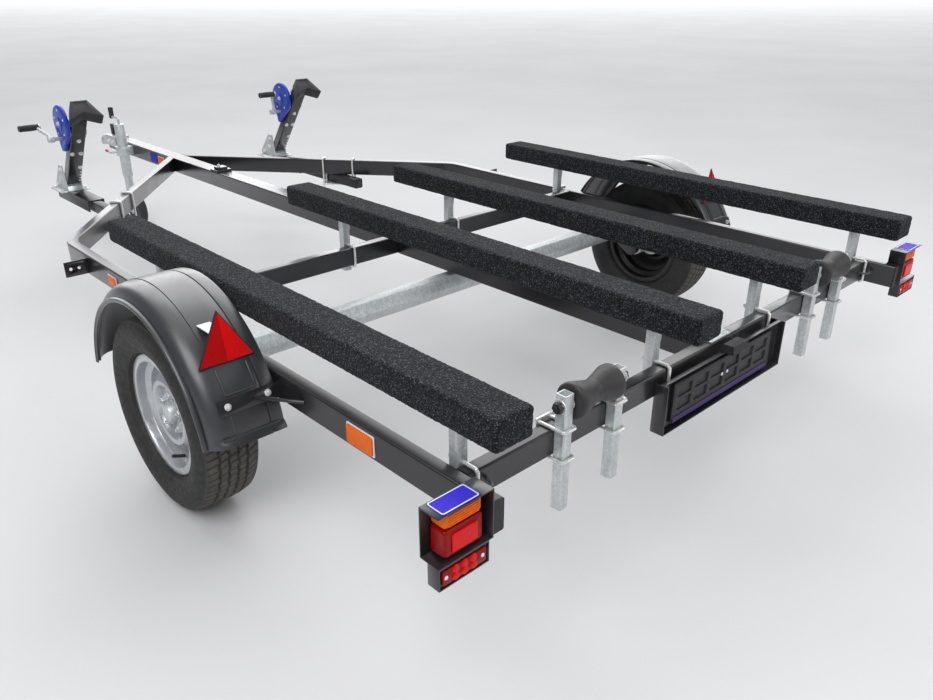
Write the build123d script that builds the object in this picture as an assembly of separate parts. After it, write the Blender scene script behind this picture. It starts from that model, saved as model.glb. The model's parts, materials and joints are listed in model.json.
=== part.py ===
# Two-craft watercraft trailer: tube frame, torsion axle, four carpeted bunks, keel rollers,
# two winch stands, ball coupling and jockey wheel.
# Millimetres. +X forward, +Y left, +Z up. Stations are measured from the wheel axis (x),
# the mid-plane (y) and the ground (z); the finished model is moved to the middle of its length.
import os
from math import cos, radians, sin, sqrt, tan

from build123d import *

# General clearances and sheet thicknesses
ROD_GAP = 0.3
RUNNING_FIT = 0.05
MOVING_GAP = 5.0
SHEET = 3.0
PLATE = 5.0

# Road wheels
TYRE_SECTION = 110.5
TYRE_W = 186.0
TREAD_W = 146.0
RIM_R = 184.0
RIM_W = 130.0
RIM_T = 4.0
RIM_LIP = 4.0
BEAD_LEAN = 0.6
BEAD_TAPER = 2.0
WELL_W = 52.0
WELL_SLOPE = 10.0
# Dish of the wheel disc; columns: offset outward from the seat, radius
DISH = ((0.0, 30.0), (0.0, 70.0), (22.0, 84.0), (24.0, 98.0), (-8.0, 128.0))
DISH_FOOT = 14.0
# Sidewall of the tyre; columns: share of the bulge beyond the rim, share of the section height
SIDEWALL = ((0.64, 0.22), (1.0, 0.47), (0.93, 0.63), (0.64, 0.82))
TREAD_ROUND = 8.0
TREAD_DROP = 7.0
BEAD_R = 166.0
WELL_R = 146.0
WHEEL_Y = 1165.0
DISC_OFFSET = 22.0
HUB_R = 38.0
HUB_FLANGE_R = 66.0
HUB_FLANGE_T = 12.0
HUB_CAP_R = 28.0
HUB_CAP_L = 14.0
HUB_CAP_DOME = 6.0
HUB_CAP_TOP_R = 20.0
STUB_R = 17.5
STUD_PCD = 112.0
STUD_COUNT = 5
STUD_R = 9.0
STUD_LENGTH = 16.0

# Frame tubes
RAIL_H = 80.0
RAIL_W = 40.0
RAIL_TOP = 495.0
RAIL_OUT = 1041.0
RAIL_TAIL = -1140.0
RAIL_ANGLE = 39.0
RAIL_FOOT_X = 2419.0
BEND_R = 150.0
TUBE_CORNER = 6.0
SPINE_W = 80.0
SPINE_H = 80.0
SPINE_NOSE = 3330.0
BEAM_H = 70.0
BEAM_D = 40.0
REAR_BEAM_BACK = -1040.0
FRONT_BEAM_BACK = 365.0

# Torsion axle
AXLE_X = 100.0
AXLE_Z = 362.0
AXLE_FLATS = 76.0
AXLE_PAD_L = 150.0
ARM_T = 28.0
ARM_EYE_R = 36.0
ARM_STUB_R = 34.0
ARM_OUT = 1042.0

# Fenders
FENDER_ROOM = 100.5
FENDER_T = 5.0
FENDER_GAP = 13.0
FENDER_W = 218.0
FENDER_SHOULDER = 34.0
FENDER_DEPTH = 43.0
FENDER_LIP = 10.0
FENDER_STEP = 5.0
FENDER_LEDGE = 38.0
FENDER_BROW = 16.0
FENDER_FALL = 2.0
FENDER_CROWN = 104.0
FENDER_END = 12.0
# Shares of the shoulder's width at which the brow and the lip begin
BROW_SHARE = 0.55
LIP_SHARE = 0.72
FLAP_T = 8.0
FLAP_SPAN = 2.6
STAY_ANGLE = 24.0
STAY_W = 40.0
STAY_REACH = 178.0
STAY_ROD_R = 5.0
STAY_ROD_RUN = 110.0
STAY_ROD_SHARE = 0.45

# Bunks and their posts
BUNK_W = 100.0
BUNK_H = 62.0
BUNK_TOP = 676.0
BUNK_TAIL = -1146.0
BUNK_NOSE = 722.0
BUNK_CORNER = 12.0
BUNK_OUTER_Y = 979.0
BUNK_INNER_Y = 270.0
POST_W = 30.0
POST_T = 3.0
POST_FOOT = 395.0
POST_PAD_L = 90.0
POST_PAD_T = 4.0
OUTER_POST_GAP = 5.0
CLAMP_ROD_R = 5.0
CLAMP_NUT_R = 9.0
CLAMP_NUT_L = 8.0
ROD_FLATS = 8
SADDLE_RUN = 84.0

# Keel rollers
ROLLER_Y = 619.0
ROLLER_Z = 560.0
ROLLER_R = 45.0
ROLLER_WAIST_R = 30.0
ROLLER_L = 155.0
ROLLER_FACE = 14.0
ROLLER_EDGE = 4.0
ROLLER_NECK = 16.0
ROLLER_PIN_R = 8.0
ROLLER_NUT_R = 13.0
ROLLER_NUT_L = 12.0
ROLLER_POST_W = 30.0
ROLLER_POST_FOOT = 280.0
ROLLER_POST_HEAD = 30.0

# Number plate
PLATE_Y = 8.0
PLATE_W = 636.0
PLATE_TOP = 469.0
PLATE_H = 146.0
PLATE_STANDOFF = 16.0
PLATE_LEDGE = 26.0
HOLDER_W = 526.0
HOLDER_H = 116.0
HOLDER_T = 9.0
HOLDER_CELLS = 6
HOLDER_RIM = 15.0
CELL_RIB = 16.0
CELL_H = 30.0
CELL_T = 5.0
# Heights of the two rows of cells from the middle of the holder
CELL_ROWS = (26.0, -14.0)
PLATE_LAMP_W = 92.0
PLATE_LAMP_D = 46.0
PLATE_LAMP_H = 22.0
PLATE_LAMP_Y = -18.0
# Shares of the lamp's foot: setback, depth and width of its crown
PLATE_LAMP_BACK = 0.4
PLATE_CROWN_D = 0.7
PLATE_CROWN_W = 0.8

# Rear light boxes
LIGHT_W = 148.0
LIGHT_TOP = 540.0
LIGHT_SHELF = 420.0
LIGHT_FRONT = -1098.0
LIGHT_D = 56.0
LED_BOX_H = 52.0
LED_BOX_D = 34.0
LED_BOX_INSET = 12.0
LED_SHIFT = 6.0
LED_CORNER = 4.0
LAMP_CORNER = 12.0
LAMP_EDGE = 8.0
LAMP_W = 104.0
LAMP_H = 104.0
LAMP_D = 50.0
LED_W = 116.0
LED_H = 34.0
LED_T = 6.0
CABLE_R = 4.0
CABLE_REACH = 28.0
CABLE_INSET = 52.0
CABLE_RISE = 6.0
CABLE_BEND = 20.0

# Winch stands
STAND_Y = 612.0
STAND_POST_X = 2384.0
STAND_POST_W = 70.0
STAND_POST_D = 45.0
STAND_POST_L = 541.0
STAND_LEAN = 38.5
STAND_FOOT_RISE = 60.0
OUTRIGGER_W = 50.0
OUTRIGGER_BEHIND = 180.0
BASE_FORE = 96.0
BASE_AFT = 330.0
GUSSET_T = 5.0
GUSSET_H = 130.0
GUSSET_AFT = 64.0
GUSSET_LIP = 22.0
GUSSET_CREST = 40.0
GUSSET_PEAK = 20.0
GUSSET_FOOT_W = 32.0
SPACER_R = 9.0
SPACER_RISE = 30.0
BOW_H = 57.0
BOW_FORE = 20.0
BOW_D = 100.0
BOW_NOTCH = 67.0
BOW_FRONT_W = 76.0
BOW_REAR_W = 155.0
BOW_TIP = 10.0
BOW_TILT = 4.0
BOW_RIM = 8.0
BOW_POCKET_L = 30.0
BOW_POCKET_T = 3.0
DRUM_BELOW = 129.0
DRUM_R = 20.0
DRUM_FLANGE_R = 36.0
DRUM_FLANGE_T = 4.0
DRUM_PIN_R = 8.0
WINCH_PLATE_T = 4.0
WINCH_PLATE_R = 44.0
WINCH_FOOT_R = 20.0
WINCH_SHAFT_R = 30.8
COVER_R = 86.0
COVER_FOOT_R = 14.0
COVER_FOOT_AHEAD = 35.0
COVER_FOOT_DOWN = 126.0
COVER_T = 18.0
COVER_EDGE = 5.0
CRANK_AHEAD = 10.0
CRANK_DOWN = 72.0
CRANK_SHAFT_R = 9.0
CRANK_SEAT = 12.0
CRANK_OUT = 50.0
CRANK_ARM_R = 7.5
CRANK_ARM_L = 118.0
CRANK_ARM_RISE = 20.0
CRANK_BEND = 12.0
# Shares of the arm's length between which it bends outward
CRANK_BEND_FROM = 0.3
CRANK_BEND_TO = 0.75
CRANK_HUB_R = 14.0
GRIP_R = 13.0
GRIP_L = 84.0
# Rest angle of each crank arm above the forward direction, left and right
CRANK_REST = {1: 24.0, -1: 116.0}

# Coupling
BALL_X = 3452.0
BALL_Z = 446.0
BALL_R = 25.3
SOCKET_R = 38.0
SOCKET_MOUTH = 424.0
SADDLE_TAIL = 3200.0
SADDLE_T = 6.0
SADDLE_DROP = 56.0
NECK_W = 62.0
LEVER_T = 26.0
LEVER_FOOT = 40.0
LEVER_UP = 64.0
LEVER_L = 170.0
LEVER_BAR = 20.0
LEVER_ROUND = LEVER_BAR / 3
NECK_RISE = 12.0
NECK_H = 44.8
NECK_END = 19.0

# Jockey wheel
JOCKEY_BACK = 343.0
JOCKEY_Y = 84.0
JOCKEY_TUBE_R = 30.0
JOCKEY_LEG_R = 24.2
JOCKEY_TUBE_FOOT = 300.0
JOCKEY_TUBE_TOP = 612.0
JOCKEY_LEG_TOP = 445.0
CLAMP_H = 52.0
CLAMP_WALL = 13.0
SCREW_R = 9.0
SCREW_L = 46.0
TOMMY_R = 6.0
TOMMY_L = 110.0
TOMMY_TAIL = 33.0
SCREW_SEAT = CLAMP_WALL / 3
JOCKEY_WHEEL_R = 100.0
JOCKEY_WHEEL_W = 50.0
JOCKEY_WHEEL_ROUND = 14.0
JOCKEY_ROUND_SHARE = 0.3
JOCKEY_TRAIL = 62.0
JOCKEY_PIN_R = 8.0
FORK_T = 5.0
FORK_W = 44.0
FORK_PIN_R = 10.0
FORK_PIN_L = 42.0
FORK_PIN_ROOM = 2.0
JOCKEY_CRANK_L = 92.0
JOCKEY_KNOB_L = 62.0
JOCKEY_KNOB_R = 13.0
JOCKEY_CAP_T = 8.0
JOCKEY_CRANK_UP = 34.0
JOCKEY_CRANK_R = 7.0
JOCKEY_CRANK_BEND = 14.0
JOCKEY_HUB_R = 30.0
JOCKEY_TREAD = 34.0
JOCKEY_RECESS = 4.0
FORK_HEAD_R = 16.0

# Reflectors and marker brackets
SIDE_REFLECTOR = (100.0, 50.0, 8.0)
SMALL_REFLECTOR = (64.0, 34.0, 7.0)
SIDE_REFLECTOR_X = -715.0
FRONT_REFLECTOR_X = 745.0
DRAWBAR_REFLECTOR_X = 2552.0
TRIANGLE_SIDE = 162.0
TRIANGLE_T = 8.0
TRIANGLE_Y = 1138.0
TRIANGLE_ANGLE = 46.0
MARKER_X = 975.0
MARKER_W = 86.0
MARKER_H = 58.0
MARKER_FOOT = 40.0
MARKER_HOLE_R = 6.0
# Marker holes as shares of the bracket's width
MARKER_HOLES = (0.4, 0.75)
REFLECTOR_CORNER = 6.0
TRIANGLE_CORNER = 5.0

# Derived stations
TYRE_R = RIM_R + TYRE_SECTION
FENDER_R = TYRE_R + FENDER_ROOM
FENDER_LIP_R = FENDER_R - FENDER_DEPTH
RAIL_IN = RAIL_OUT - RAIL_W
RAIL_MID_Y = RAIL_OUT - RAIL_W / 2
RAIL_MID_Z = RAIL_TOP - RAIL_H / 2
RAIL_FLOOR = RAIL_TOP - RAIL_H
SPINE_SIDE = SPINE_W / 2
REAR_BEAM_FRONT = REAR_BEAM_BACK + BEAM_D
FRONT_BEAM_FRONT = FRONT_BEAM_BACK + BEAM_D
BEAM_FLOOR = RAIL_TOP - BEAM_H
RAIL_BEND_X = RAIL_FOOT_X - (RAIL_MID_Y - SPINE_SIDE) / tan(radians(RAIL_ANGLE))
BUNK_FLOOR = BUNK_TOP - BUNK_H
FENDER_IN = RAIL_OUT + FENDER_GAP
FENDER_OUT = FENDER_IN + FENDER_W
FENDER_STEP_IN = FENDER_IN + FENDER_LEDGE
FENDER_STEP_OUT = FENDER_STEP_IN + FENDER_CROWN
OUTER_POST_Y = RAIL_IN - OUTER_POST_GAP - POST_W / 2
CLAMP_OUT = CLAMP_ROD_R + ROD_GAP
SIDE_POST_X = FRONT_BEAM_FRONT + 2 * CLAMP_OUT + POST_W / 2
CROSSING_X = RAIL_FOOT_X - (STAND_Y - SPINE_SIDE) / tan(radians(RAIL_ANGLE))
DECK = RAIL_FLOOR + PLATE
LEAN = radians(STAND_LEAN)
DRUM_OUT = STAND_POST_D / 2 + DRUM_FLANGE_R + MOVING_GAP
DRUM_ALONG = STAND_POST_L - DRUM_BELOW
DRUM_X = STAND_POST_X + DRUM_OUT * cos(LEAN) - DRUM_ALONG * sin(LEAN)
DRUM_Z = DECK + DRUM_OUT * sin(LEAN) + DRUM_ALONG * cos(LEAN)
CRANK_X = DRUM_X + CRANK_AHEAD
CRANK_Z = DRUM_Z - CRANK_DOWN
JOCKEY_X = SPINE_NOSE - JOCKEY_BACK
LIGHT_BACK = LIGHT_FRONT - LIGHT_D
NOSE = BALL_X + SOCKET_R
MID_X = (NOSE + LIGHT_BACK) / 2

SIDES = {1: "left", -1: "right"}
nodes = {}


def block(x0, x1, y0, y1, z0, z1):
    """A box between two corners."""
    centre = Pos((x0 + x1) / 2, (y0 + y1) / 2, (z0 + z1) / 2)
    return centre * Box(abs(x1 - x0), abs(y1 - y0), abs(z1 - z0))


def bar(axis, radius, x0, x1, y0, y1, z0, z1):
    """A box whose long edges along one axis are rounded."""
    solid = block(x0, x1, y0, y1, z0, z1)
    return fillet(solid.edges().filter_by(axis), radius)


def post(x, y, width, wall, z0, z1):
    """An upright square tube, open at both ends."""
    half = width / 2
    outer = bar(Axis.Z, wall, x - half, x + half, y - half, y + half, z0, z1)
    core = half - wall
    return outer - block(x - core, x + core, y - core, y + core, z0, z1)


def lathe_y(points, x=0.0, z=TYRE_R):
    """A solid of revolution about the Y direction from (y, radius) corners."""
    face = Plane.XY * make_face(Polyline([(r, y) for y, r in points], close=True))
    return Pos(x, 0, z) * revolve(face, Axis.Y)


def rod(points, radius, bend):
    """A round rod along straight runs with rounded corners."""
    path = FilletPolyline(*points, radius=bend) if len(points) > 2 else Line(*points)
    section = Plane(origin=path @ 0, z_dir=path % 0) * Circle(radius)
    return sweep(section, path)


def u_bolt(leg, back, level, width, corner):
    """A clamp rod in the XY plane: legs along X from x = leg, joined at x = back round two tube corners."""
    half = width / 2
    cut = (corner + CLAMP_OUT) * (2 - sqrt(2))
    bend = back + cut if back < leg else back - cut
    path = Polyline((leg, -half, level), (bend, -half, level), (back, cut - half, level),
                    (back, half - cut, level), (bend, half, level), (leg, half, level))
    section = Plane(origin=path @ 0, z_dir=path % 0) * RegularPolygon(CLAMP_ROD_R, ROD_FLATS)
    return sweep(section, path, transition=Transition.RIGHT)


def pin_y(x, y0, y1, z, radius):
    """A cylinder along Y."""
    return Pos(x, (y0 + y1) / 2, z) * Rot(90, 0, 0) * Cylinder(radius, abs(y1 - y0))


def pin_x(x0, x1, y, z, radius):
    """A cylinder along X."""
    return Pos((x0 + x1) / 2, y, z) * Rot(0, 90, 0) * Cylinder(radius, abs(x1 - x0))


def pin_z(x, y, z0, z1, radius):
    """An upright cylinder."""
    return Pos(x, y, (z0 + z1) / 2) * Cylinder(radius, z1 - z0)


def hull_plate(circles, y0, y1):
    """A flat plate across Y round two or more (x, z, radius) circles."""
    edges = [edge for x, z, r in circles for edge in (Pos(x, z) * Circle(r)).edges()]
    outline = make_hull(edges)
    return extrude(Plane.XZ.offset(-y0) * outline, y0 - y1)


def add(name, shape):
    """Keeps a finished piece under its name."""
    nodes[name] = shape


def add_pair(name, shape):
    """Keeps a left piece and its mirror image on the right."""
    add(f"{name}_left", shape)
    add(f"{name}_right", mirror(shape, about=Plane.XZ))


def both_sides(shape):
    """A left piece together with its mirror image."""
    return Compound(children=[*shape.solids(), *mirror(shape, about=Plane.XZ).solids()])


def frame_tubes():
    """Spine, side rails bent into the drawbar, and crossbeams."""
    add("spine", bar(Axis.X, TUBE_CORNER, REAR_BEAM_FRONT, SPINE_NOSE, -SPINE_SIDE, SPINE_SIDE,
                     RAIL_TOP - SPINE_H, RAIL_TOP))
    overrun = RAIL_W * 2
    run = (cos(radians(RAIL_ANGLE)), -sin(radians(RAIL_ANGLE)))
    path = FilletPolyline(
        (RAIL_TAIL, RAIL_MID_Y, RAIL_MID_Z),
        (RAIL_BEND_X, RAIL_MID_Y, RAIL_MID_Z),
        (RAIL_FOOT_X + overrun * run[0], SPINE_SIDE + overrun * run[1], RAIL_MID_Z),
        radius=BEND_R)
    section = Plane(origin=path @ 0, x_dir=(0, 1, 0), z_dir=(1, 0, 0))
    rail = sweep(section * RectangleRounded(RAIL_W, RAIL_H, TUBE_CORNER), path)
    beyond = block(RAIL_FOOT_X - 4 * overrun, RAIL_FOOT_X + 4 * overrun,
                   SPINE_SIDE - 4 * overrun, SPINE_SIDE, RAIL_FLOOR - overrun, RAIL_TOP + overrun)
    add_pair("side_rail", rail - beyond)
    add("rear_crossbeam", bar(Axis.Y, TUBE_CORNER, REAR_BEAM_BACK, REAR_BEAM_FRONT,
                              -RAIL_IN, RAIL_IN, BEAM_FLOOR, RAIL_TOP))
    add("front_crossbeam", both_sides(bar(Axis.Y, TUBE_CORNER, FRONT_BEAM_BACK, FRONT_BEAM_FRONT,
                                          SPINE_SIDE, RAIL_IN, BEAM_FLOOR, RAIL_TOP)))


def axle():
    """Hexagonal torsion tube under the rails, with trailing arms and stub axles."""
    arm_in = ARM_OUT - ARM_T
    hexagon = Plane.XZ * Pos(AXLE_X, AXLE_Z) * RegularPolygon(AXLE_FLATS / 2, 6, major_radius=False)
    tube = extrude(hexagon, arm_in, both=True)
    pad = block(AXLE_X - AXLE_PAD_L / 2, AXLE_X + AXLE_PAD_L / 2, RAIL_IN - RAIL_W / 2, RAIL_OUT,
                AXLE_Z + AXLE_FLATS / 2, RAIL_FLOOR)
    add("axle_beam", tube + pad + mirror(pad, about=Plane.XZ))
    arm = hull_plate([(AXLE_X, AXLE_Z, ARM_EYE_R), (0, TYRE_R, ARM_STUB_R)], arm_in, ARM_OUT)
    add_pair("axle_arm", arm + pin_y(0, ARM_OUT, WHEEL_Y + DISC_OFFSET, TYRE_R, STUB_R))


def wheels():
    """Hub, dished steel rim and tyre on each stub axle."""
    flange = WHEEL_Y + DISC_OFFSET - RIM_T
    hub_in = ARM_OUT + MOVING_GAP
    bore = STUB_R + RUNNING_FIT
    stub_end = WHEEL_Y + DISC_OFFSET + MOVING_GAP
    cap = stub_end + HUB_CAP_L
    hub = lathe_y([(hub_in, bore), (hub_in, HUB_R), (flange - HUB_FLANGE_T, HUB_R),
                   (flange - HUB_FLANGE_T, HUB_FLANGE_R), (flange, HUB_FLANGE_R), (flange, HUB_CAP_R),
                   (cap, HUB_CAP_R), (cap + HUB_CAP_DOME, HUB_CAP_TOP_R), (cap + HUB_CAP_DOME, 0),
                   (stub_end, 0), (stub_end, bore)])
    reach = flange + RIM_T + STUD_LENGTH
    for k in range(STUD_COUNT):
        angle = radians(90 + 360 * k / STUD_COUNT)
        hub += pin_y(STUD_PCD / 2 * cos(angle), flange, reach, TYRE_R + STUD_PCD / 2 * sin(angle), STUD_R)
    add_pair("hub", hub)

    half = RIM_W / 2
    well = WELL_W / 2
    bead = half - RIM_LIP - BEAD_LEAN
    slope = well + WELL_SLOPE
    outside = [(half, RIM_R), (half - RIM_LIP, RIM_R), (bead, BEAD_R), (slope, BEAD_R - BEAD_TAPER),
               (well, WELL_R)]
    inside = [(well + RIM_T / 2, WELL_R - RIM_T), (slope + RIM_T / 2, BEAD_R - BEAD_TAPER - RIM_T),
              (half, BEAD_R - RIM_T)]
    barrel = (outside + [(-y, r) for y, r in reversed(outside)]
              + [(-y, r) for y, r in reversed(inside)] + inside)
    dish = [(DISC_OFFSET + y, r) for y, r in DISH] + [(DISC_OFFSET - DISH_FOOT, WELL_R - RIM_T / 2)]
    disc = dish + [(y - RIM_T, r) for y, r in reversed(dish)]
    rim = lathe_y([(WHEEL_Y + y, r) for y, r in barrel]) + lathe_y([(WHEEL_Y + y, r) for y, r in disc])
    for k in range(STUD_COUNT):
        angle = radians(90 + 360 * k / STUD_COUNT)
        rim -= pin_y(STUD_PCD / 2 * cos(angle), WHEEL_Y, WHEEL_Y + half,
                     TYRE_R + STUD_PCD / 2 * sin(angle), STUD_R + ROD_GAP)
    add_pair("rim", rim)

    seat = BEAD_R + ROD_GAP
    bulge = TYRE_W / 2 - half
    side = [(bead - ROD_GAP, seat), (bead - ROD_GAP, RIM_R + BEAD_LEAN), (half + BEAD_TAPER, RIM_R + RIM_LIP)]
    side += [(half + bulge * out, RIM_R + TYRE_SECTION * up) for out, up in SIDEWALL]
    side += [(TREAD_W / 2 + RIM_LIP, TYRE_R - TREAD_DROP), (TREAD_W / 2 - TREAD_ROUND, TYRE_R)]
    ring = side + [(-y, r) for y, r in reversed(side)]
    add_pair("tyre", lathe_y([(WHEEL_Y + y, r) for y, r in ring]))


def fenders():
    """Moulded arches over the wheels, with stays to the rails and triangular reflectors."""
    shoulder = FENDER_OUT - FENDER_SHOULDER
    brow = shoulder + FENDER_SHOULDER * BROW_SHARE
    fold = shoulder + FENDER_SHOULDER * LIP_SHARE
    ledge_r = FENDER_R - FENDER_STEP
    skin = [(FENDER_IN, ledge_r), (FENDER_STEP_IN, ledge_r), (FENDER_STEP_IN + FENDER_STEP, FENDER_R),
            (FENDER_STEP_OUT, FENDER_R), (FENDER_STEP_OUT + FENDER_STEP, ledge_r),
            (shoulder, ledge_r - FENDER_FALL), (brow, FENDER_R - FENDER_BROW), (fold, FENDER_LIP_R + FENDER_LIP),
            (FENDER_OUT, FENDER_LIP_R + FENDER_LIP), (FENDER_OUT, FENDER_LIP_R)]
    inner = [(fold - FENDER_T, FENDER_LIP_R), (brow - FENDER_T, FENDER_R - FENDER_BROW - FENDER_T),
             (shoulder - FENDER_T, ledge_r - FENDER_FALL - FENDER_T), (FENDER_IN, ledge_r - FENDER_T)]
    face = Plane.XY * make_face(Polyline([(r, y) for y, r in skin + inner], close=True))
    arch = Pos(0, 0, TYRE_R) * Rot(0, -FENDER_END, 0) * revolve(face, Axis.Y, -(180 - 2 * FENDER_END))
    flap_r = FENDER_R + FLAP_T
    flare = [(FENDER_IN + FENDER_T, ledge_r - FENDER_T / 2), (FENDER_IN + FENDER_T, flap_r),
             (shoulder - FENDER_T, flap_r), (shoulder - FENDER_T, ledge_r - FENDER_T / 2)]
    face = Plane.XY * make_face(Polyline([(r, y) for y, r in flare], close=True))
    flap = Pos(0, 0, TYRE_R) * Rot(0, FENDER_END - 180, 0) * revolve(face, Axis.Y, FLAP_SPAN)
    add_pair("fender", arch + flap)

    stay_out = RAIL_OUT + STAY_REACH
    stays = []
    for side_angle in (STAY_ANGLE, 180 - STAY_ANGLE):
        reach = FENDER_R + ROD_GAP + PLATE
        strip = block(FENDER_R + ROD_GAP, reach, RAIL_OUT, stay_out, -STAY_W / 2, STAY_W / 2)
        strip = Pos(0, 0, TYRE_R) * Rot(0, -side_angle, 0) * strip
        foot = (reach * cos(radians(side_angle)), TYRE_R + reach * sin(radians(side_angle)))
        away = 1 if foot[0] > 0 else -1
        brace = rod([(foot[0], RAIL_OUT + STAY_REACH * STAY_ROD_SHARE, foot[1]),
                     (foot[0] + away * STAY_ROD_RUN, RAIL_OUT, foot[1])], STAY_ROD_R, 0)
        beside = block(-2 * FENDER_R, 2 * FENDER_R, RAIL_OUT, stay_out, 0, 2 * FENDER_R)
        stays.append(strip + (brace & beside))
    add("fender_stays", both_sides(Compound(children=[s for stay in stays for s in stay.solids()])))

    height = TRIANGLE_SIDE * sin(radians(60))
    base = -height / 3
    outline = Polygon((0, height + base), (-TRIANGLE_SIDE / 2, base), (TRIANGLE_SIDE / 2, base), align=None)
    plate = extrude(Plane.XY * fillet(outline.vertices(), TRIANGLE_CORNER), TRIANGLE_T)
    lie = Location(Plane(origin=(0, 0, 0), x_dir=(0, -1, 0), z_dir=(-1, 0, 0)))
    standing = Pos(-FENDER_R - ROD_GAP, TRIANGLE_Y, 0) * lie * plate
    add("triangle_reflectors", both_sides(Pos(0, 0, TYRE_R) * Rot(0, TRIANGLE_ANGLE, 0) * standing))


def bunks():
    """Carpeted bunks on square posts, clamped to the crossbeams and the rails."""
    for side, name in SIDES.items():
        for y, place in ((BUNK_OUTER_Y, "outer"), (BUNK_INNER_Y, "inner")):
            near = side * y - BUNK_W / 2
            bunk = bar(Axis.X, BUNK_CORNER, BUNK_TAIL, BUNK_NOSE, near, near + BUNK_W, BUNK_FLOOR, BUNK_TOP)
            add(f"bunk_{name}_{place}", bunk)
    posts = []
    half = POST_W / 2
    hole = CLAMP_ROD_R + ROD_GAP
    beam_x = (REAR_BEAM_FRONT + half, FRONT_BEAM_FRONT + half)
    # Columns: post x, post y on the left side, floor of the tube it is clamped to
    table = [(beam_x[0], OUTER_POST_Y, BEAM_FLOOR), (beam_x[0], BUNK_INNER_Y, BEAM_FLOOR),
             (beam_x[1], BUNK_INNER_Y, BEAM_FLOOR), (SIDE_POST_X, RAIL_IN - half, RAIL_FLOOR)]
    for x, y, tube_floor in table:
        head = block(x - POST_PAD_L / 2, x + POST_PAD_L / 2, y - half, y + half,
                     BUNK_FLOOR - POST_PAD_T, BUNK_FLOOR)
        column = post(x, y, POST_W, POST_T, POST_FOOT, BUNK_FLOOR - POST_PAD_T) + head
        for z in (RAIL_TOP + CLAMP_OUT, tube_floor - CLAMP_OUT):
            if x == SIDE_POST_X:
                column -= pin_y(x, y - half, y + half, z, hole)
            else:
                column -= pin_x(x - half, x + half, y, z, hole)
        posts.append(column)
    add("bunk_posts", both_sides(Compound(children=[s for p in posts for s in p.solids()])))


def clamps():
    """Bent rod clamps of the bunk posts, the roller posts and the winch outriggers."""
    out = CLAMP_OUT
    half = POST_W / 2
    upright = Rot(-90, 0, 0)
    pieces = []
    # Columns: back of the clamped tube, its depth, its floor, and the place of the clamp
    table = [(REAR_BEAM_BACK, BEAM_D, BEAM_FLOOR, Pos(0, OUTER_POST_Y, 0)),
             (REAR_BEAM_BACK, BEAM_D, BEAM_FLOOR, Pos(0, BUNK_INNER_Y, 0)),
             (FRONT_BEAM_BACK, BEAM_D, BEAM_FLOOR, Pos(0, BUNK_INNER_Y, 0)),
             (-RAIL_OUT, RAIL_W, RAIL_FLOOR, Pos(SIDE_POST_X, 0, 0) * Rot(0, 0, -90))]
    for back, depth, floor, place in table:
        face = back + depth + POST_W
        end = face + CLAMP_NUT_L + CLAMP_ROD_R
        height = RAIL_TOP - floor
        level = (RAIL_TOP + floor) / 2
        clamp = Pos(0, 0, level) * upright * u_bolt(end, back - out, 0, height + 2 * out, TUBE_CORNER)
        for z in (RAIL_TOP + out, floor - out):
            nut = extrude(Plane.YZ.offset(face) * Pos(0, z) * RegularPolygon(CLAMP_NUT_R, 6), CLAMP_NUT_L)
            clamp += nut
        left = place * clamp
        pieces += [left, mirror(left, about=Plane.XZ)]
    reach = ROLLER_POST_W / 2 + out
    nose = REAR_BEAM_FRONT + PLATE
    for side in SIDES:
        for y in roller_post_y(side):
            for z in (RAIL_TOP + out, BEAM_FLOOR - out):
                wide = reach + 2 * out
                strap = block(REAR_BEAM_FRONT, nose, y - wide, y + wide, z - 2 * out, z + 2 * out)
                bent = Pos(0, y, 0) * u_bolt(nose, REAR_BEAM_BACK - ROLLER_POST_W - out, z, 2 * reach, POST_T)
                pieces.append(bent + strap)
    reach = RAIL_W / 2 + out
    under = RAIL_FLOOR - OUTRIGGER_W
    run = SADDLE_RUN + 3 * out
    wide = reach + 3 * out
    grip = block(-run, run, -wide, wide, under - PLATE, under)
    hoop = Rot(0, -90, 0) * u_bolt(under - 4 * out, RAIL_TOP + out, 0, 2 * reach, TUBE_CORNER)
    for along in (-SADDLE_RUN, SADDLE_RUN):
        grip += Pos(along, 0, 0) * hoop
    left = Pos(CROSSING_X, STAND_Y, 0) * Rot(0, 0, -RAIL_ANGLE) * grip
    pieces += [left, mirror(left, about=Plane.XZ)]
    add("clamps", Compound(children=[s for piece in pieces for s in piece.solids()]))


def roller_post_y(side):
    """Middle of the two posts of one keel roller."""
    spread = ROLLER_L / 2 + MOVING_GAP + ROLLER_POST_W / 2
    return (side * ROLLER_Y - spread, side * ROLLER_Y + spread)


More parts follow.
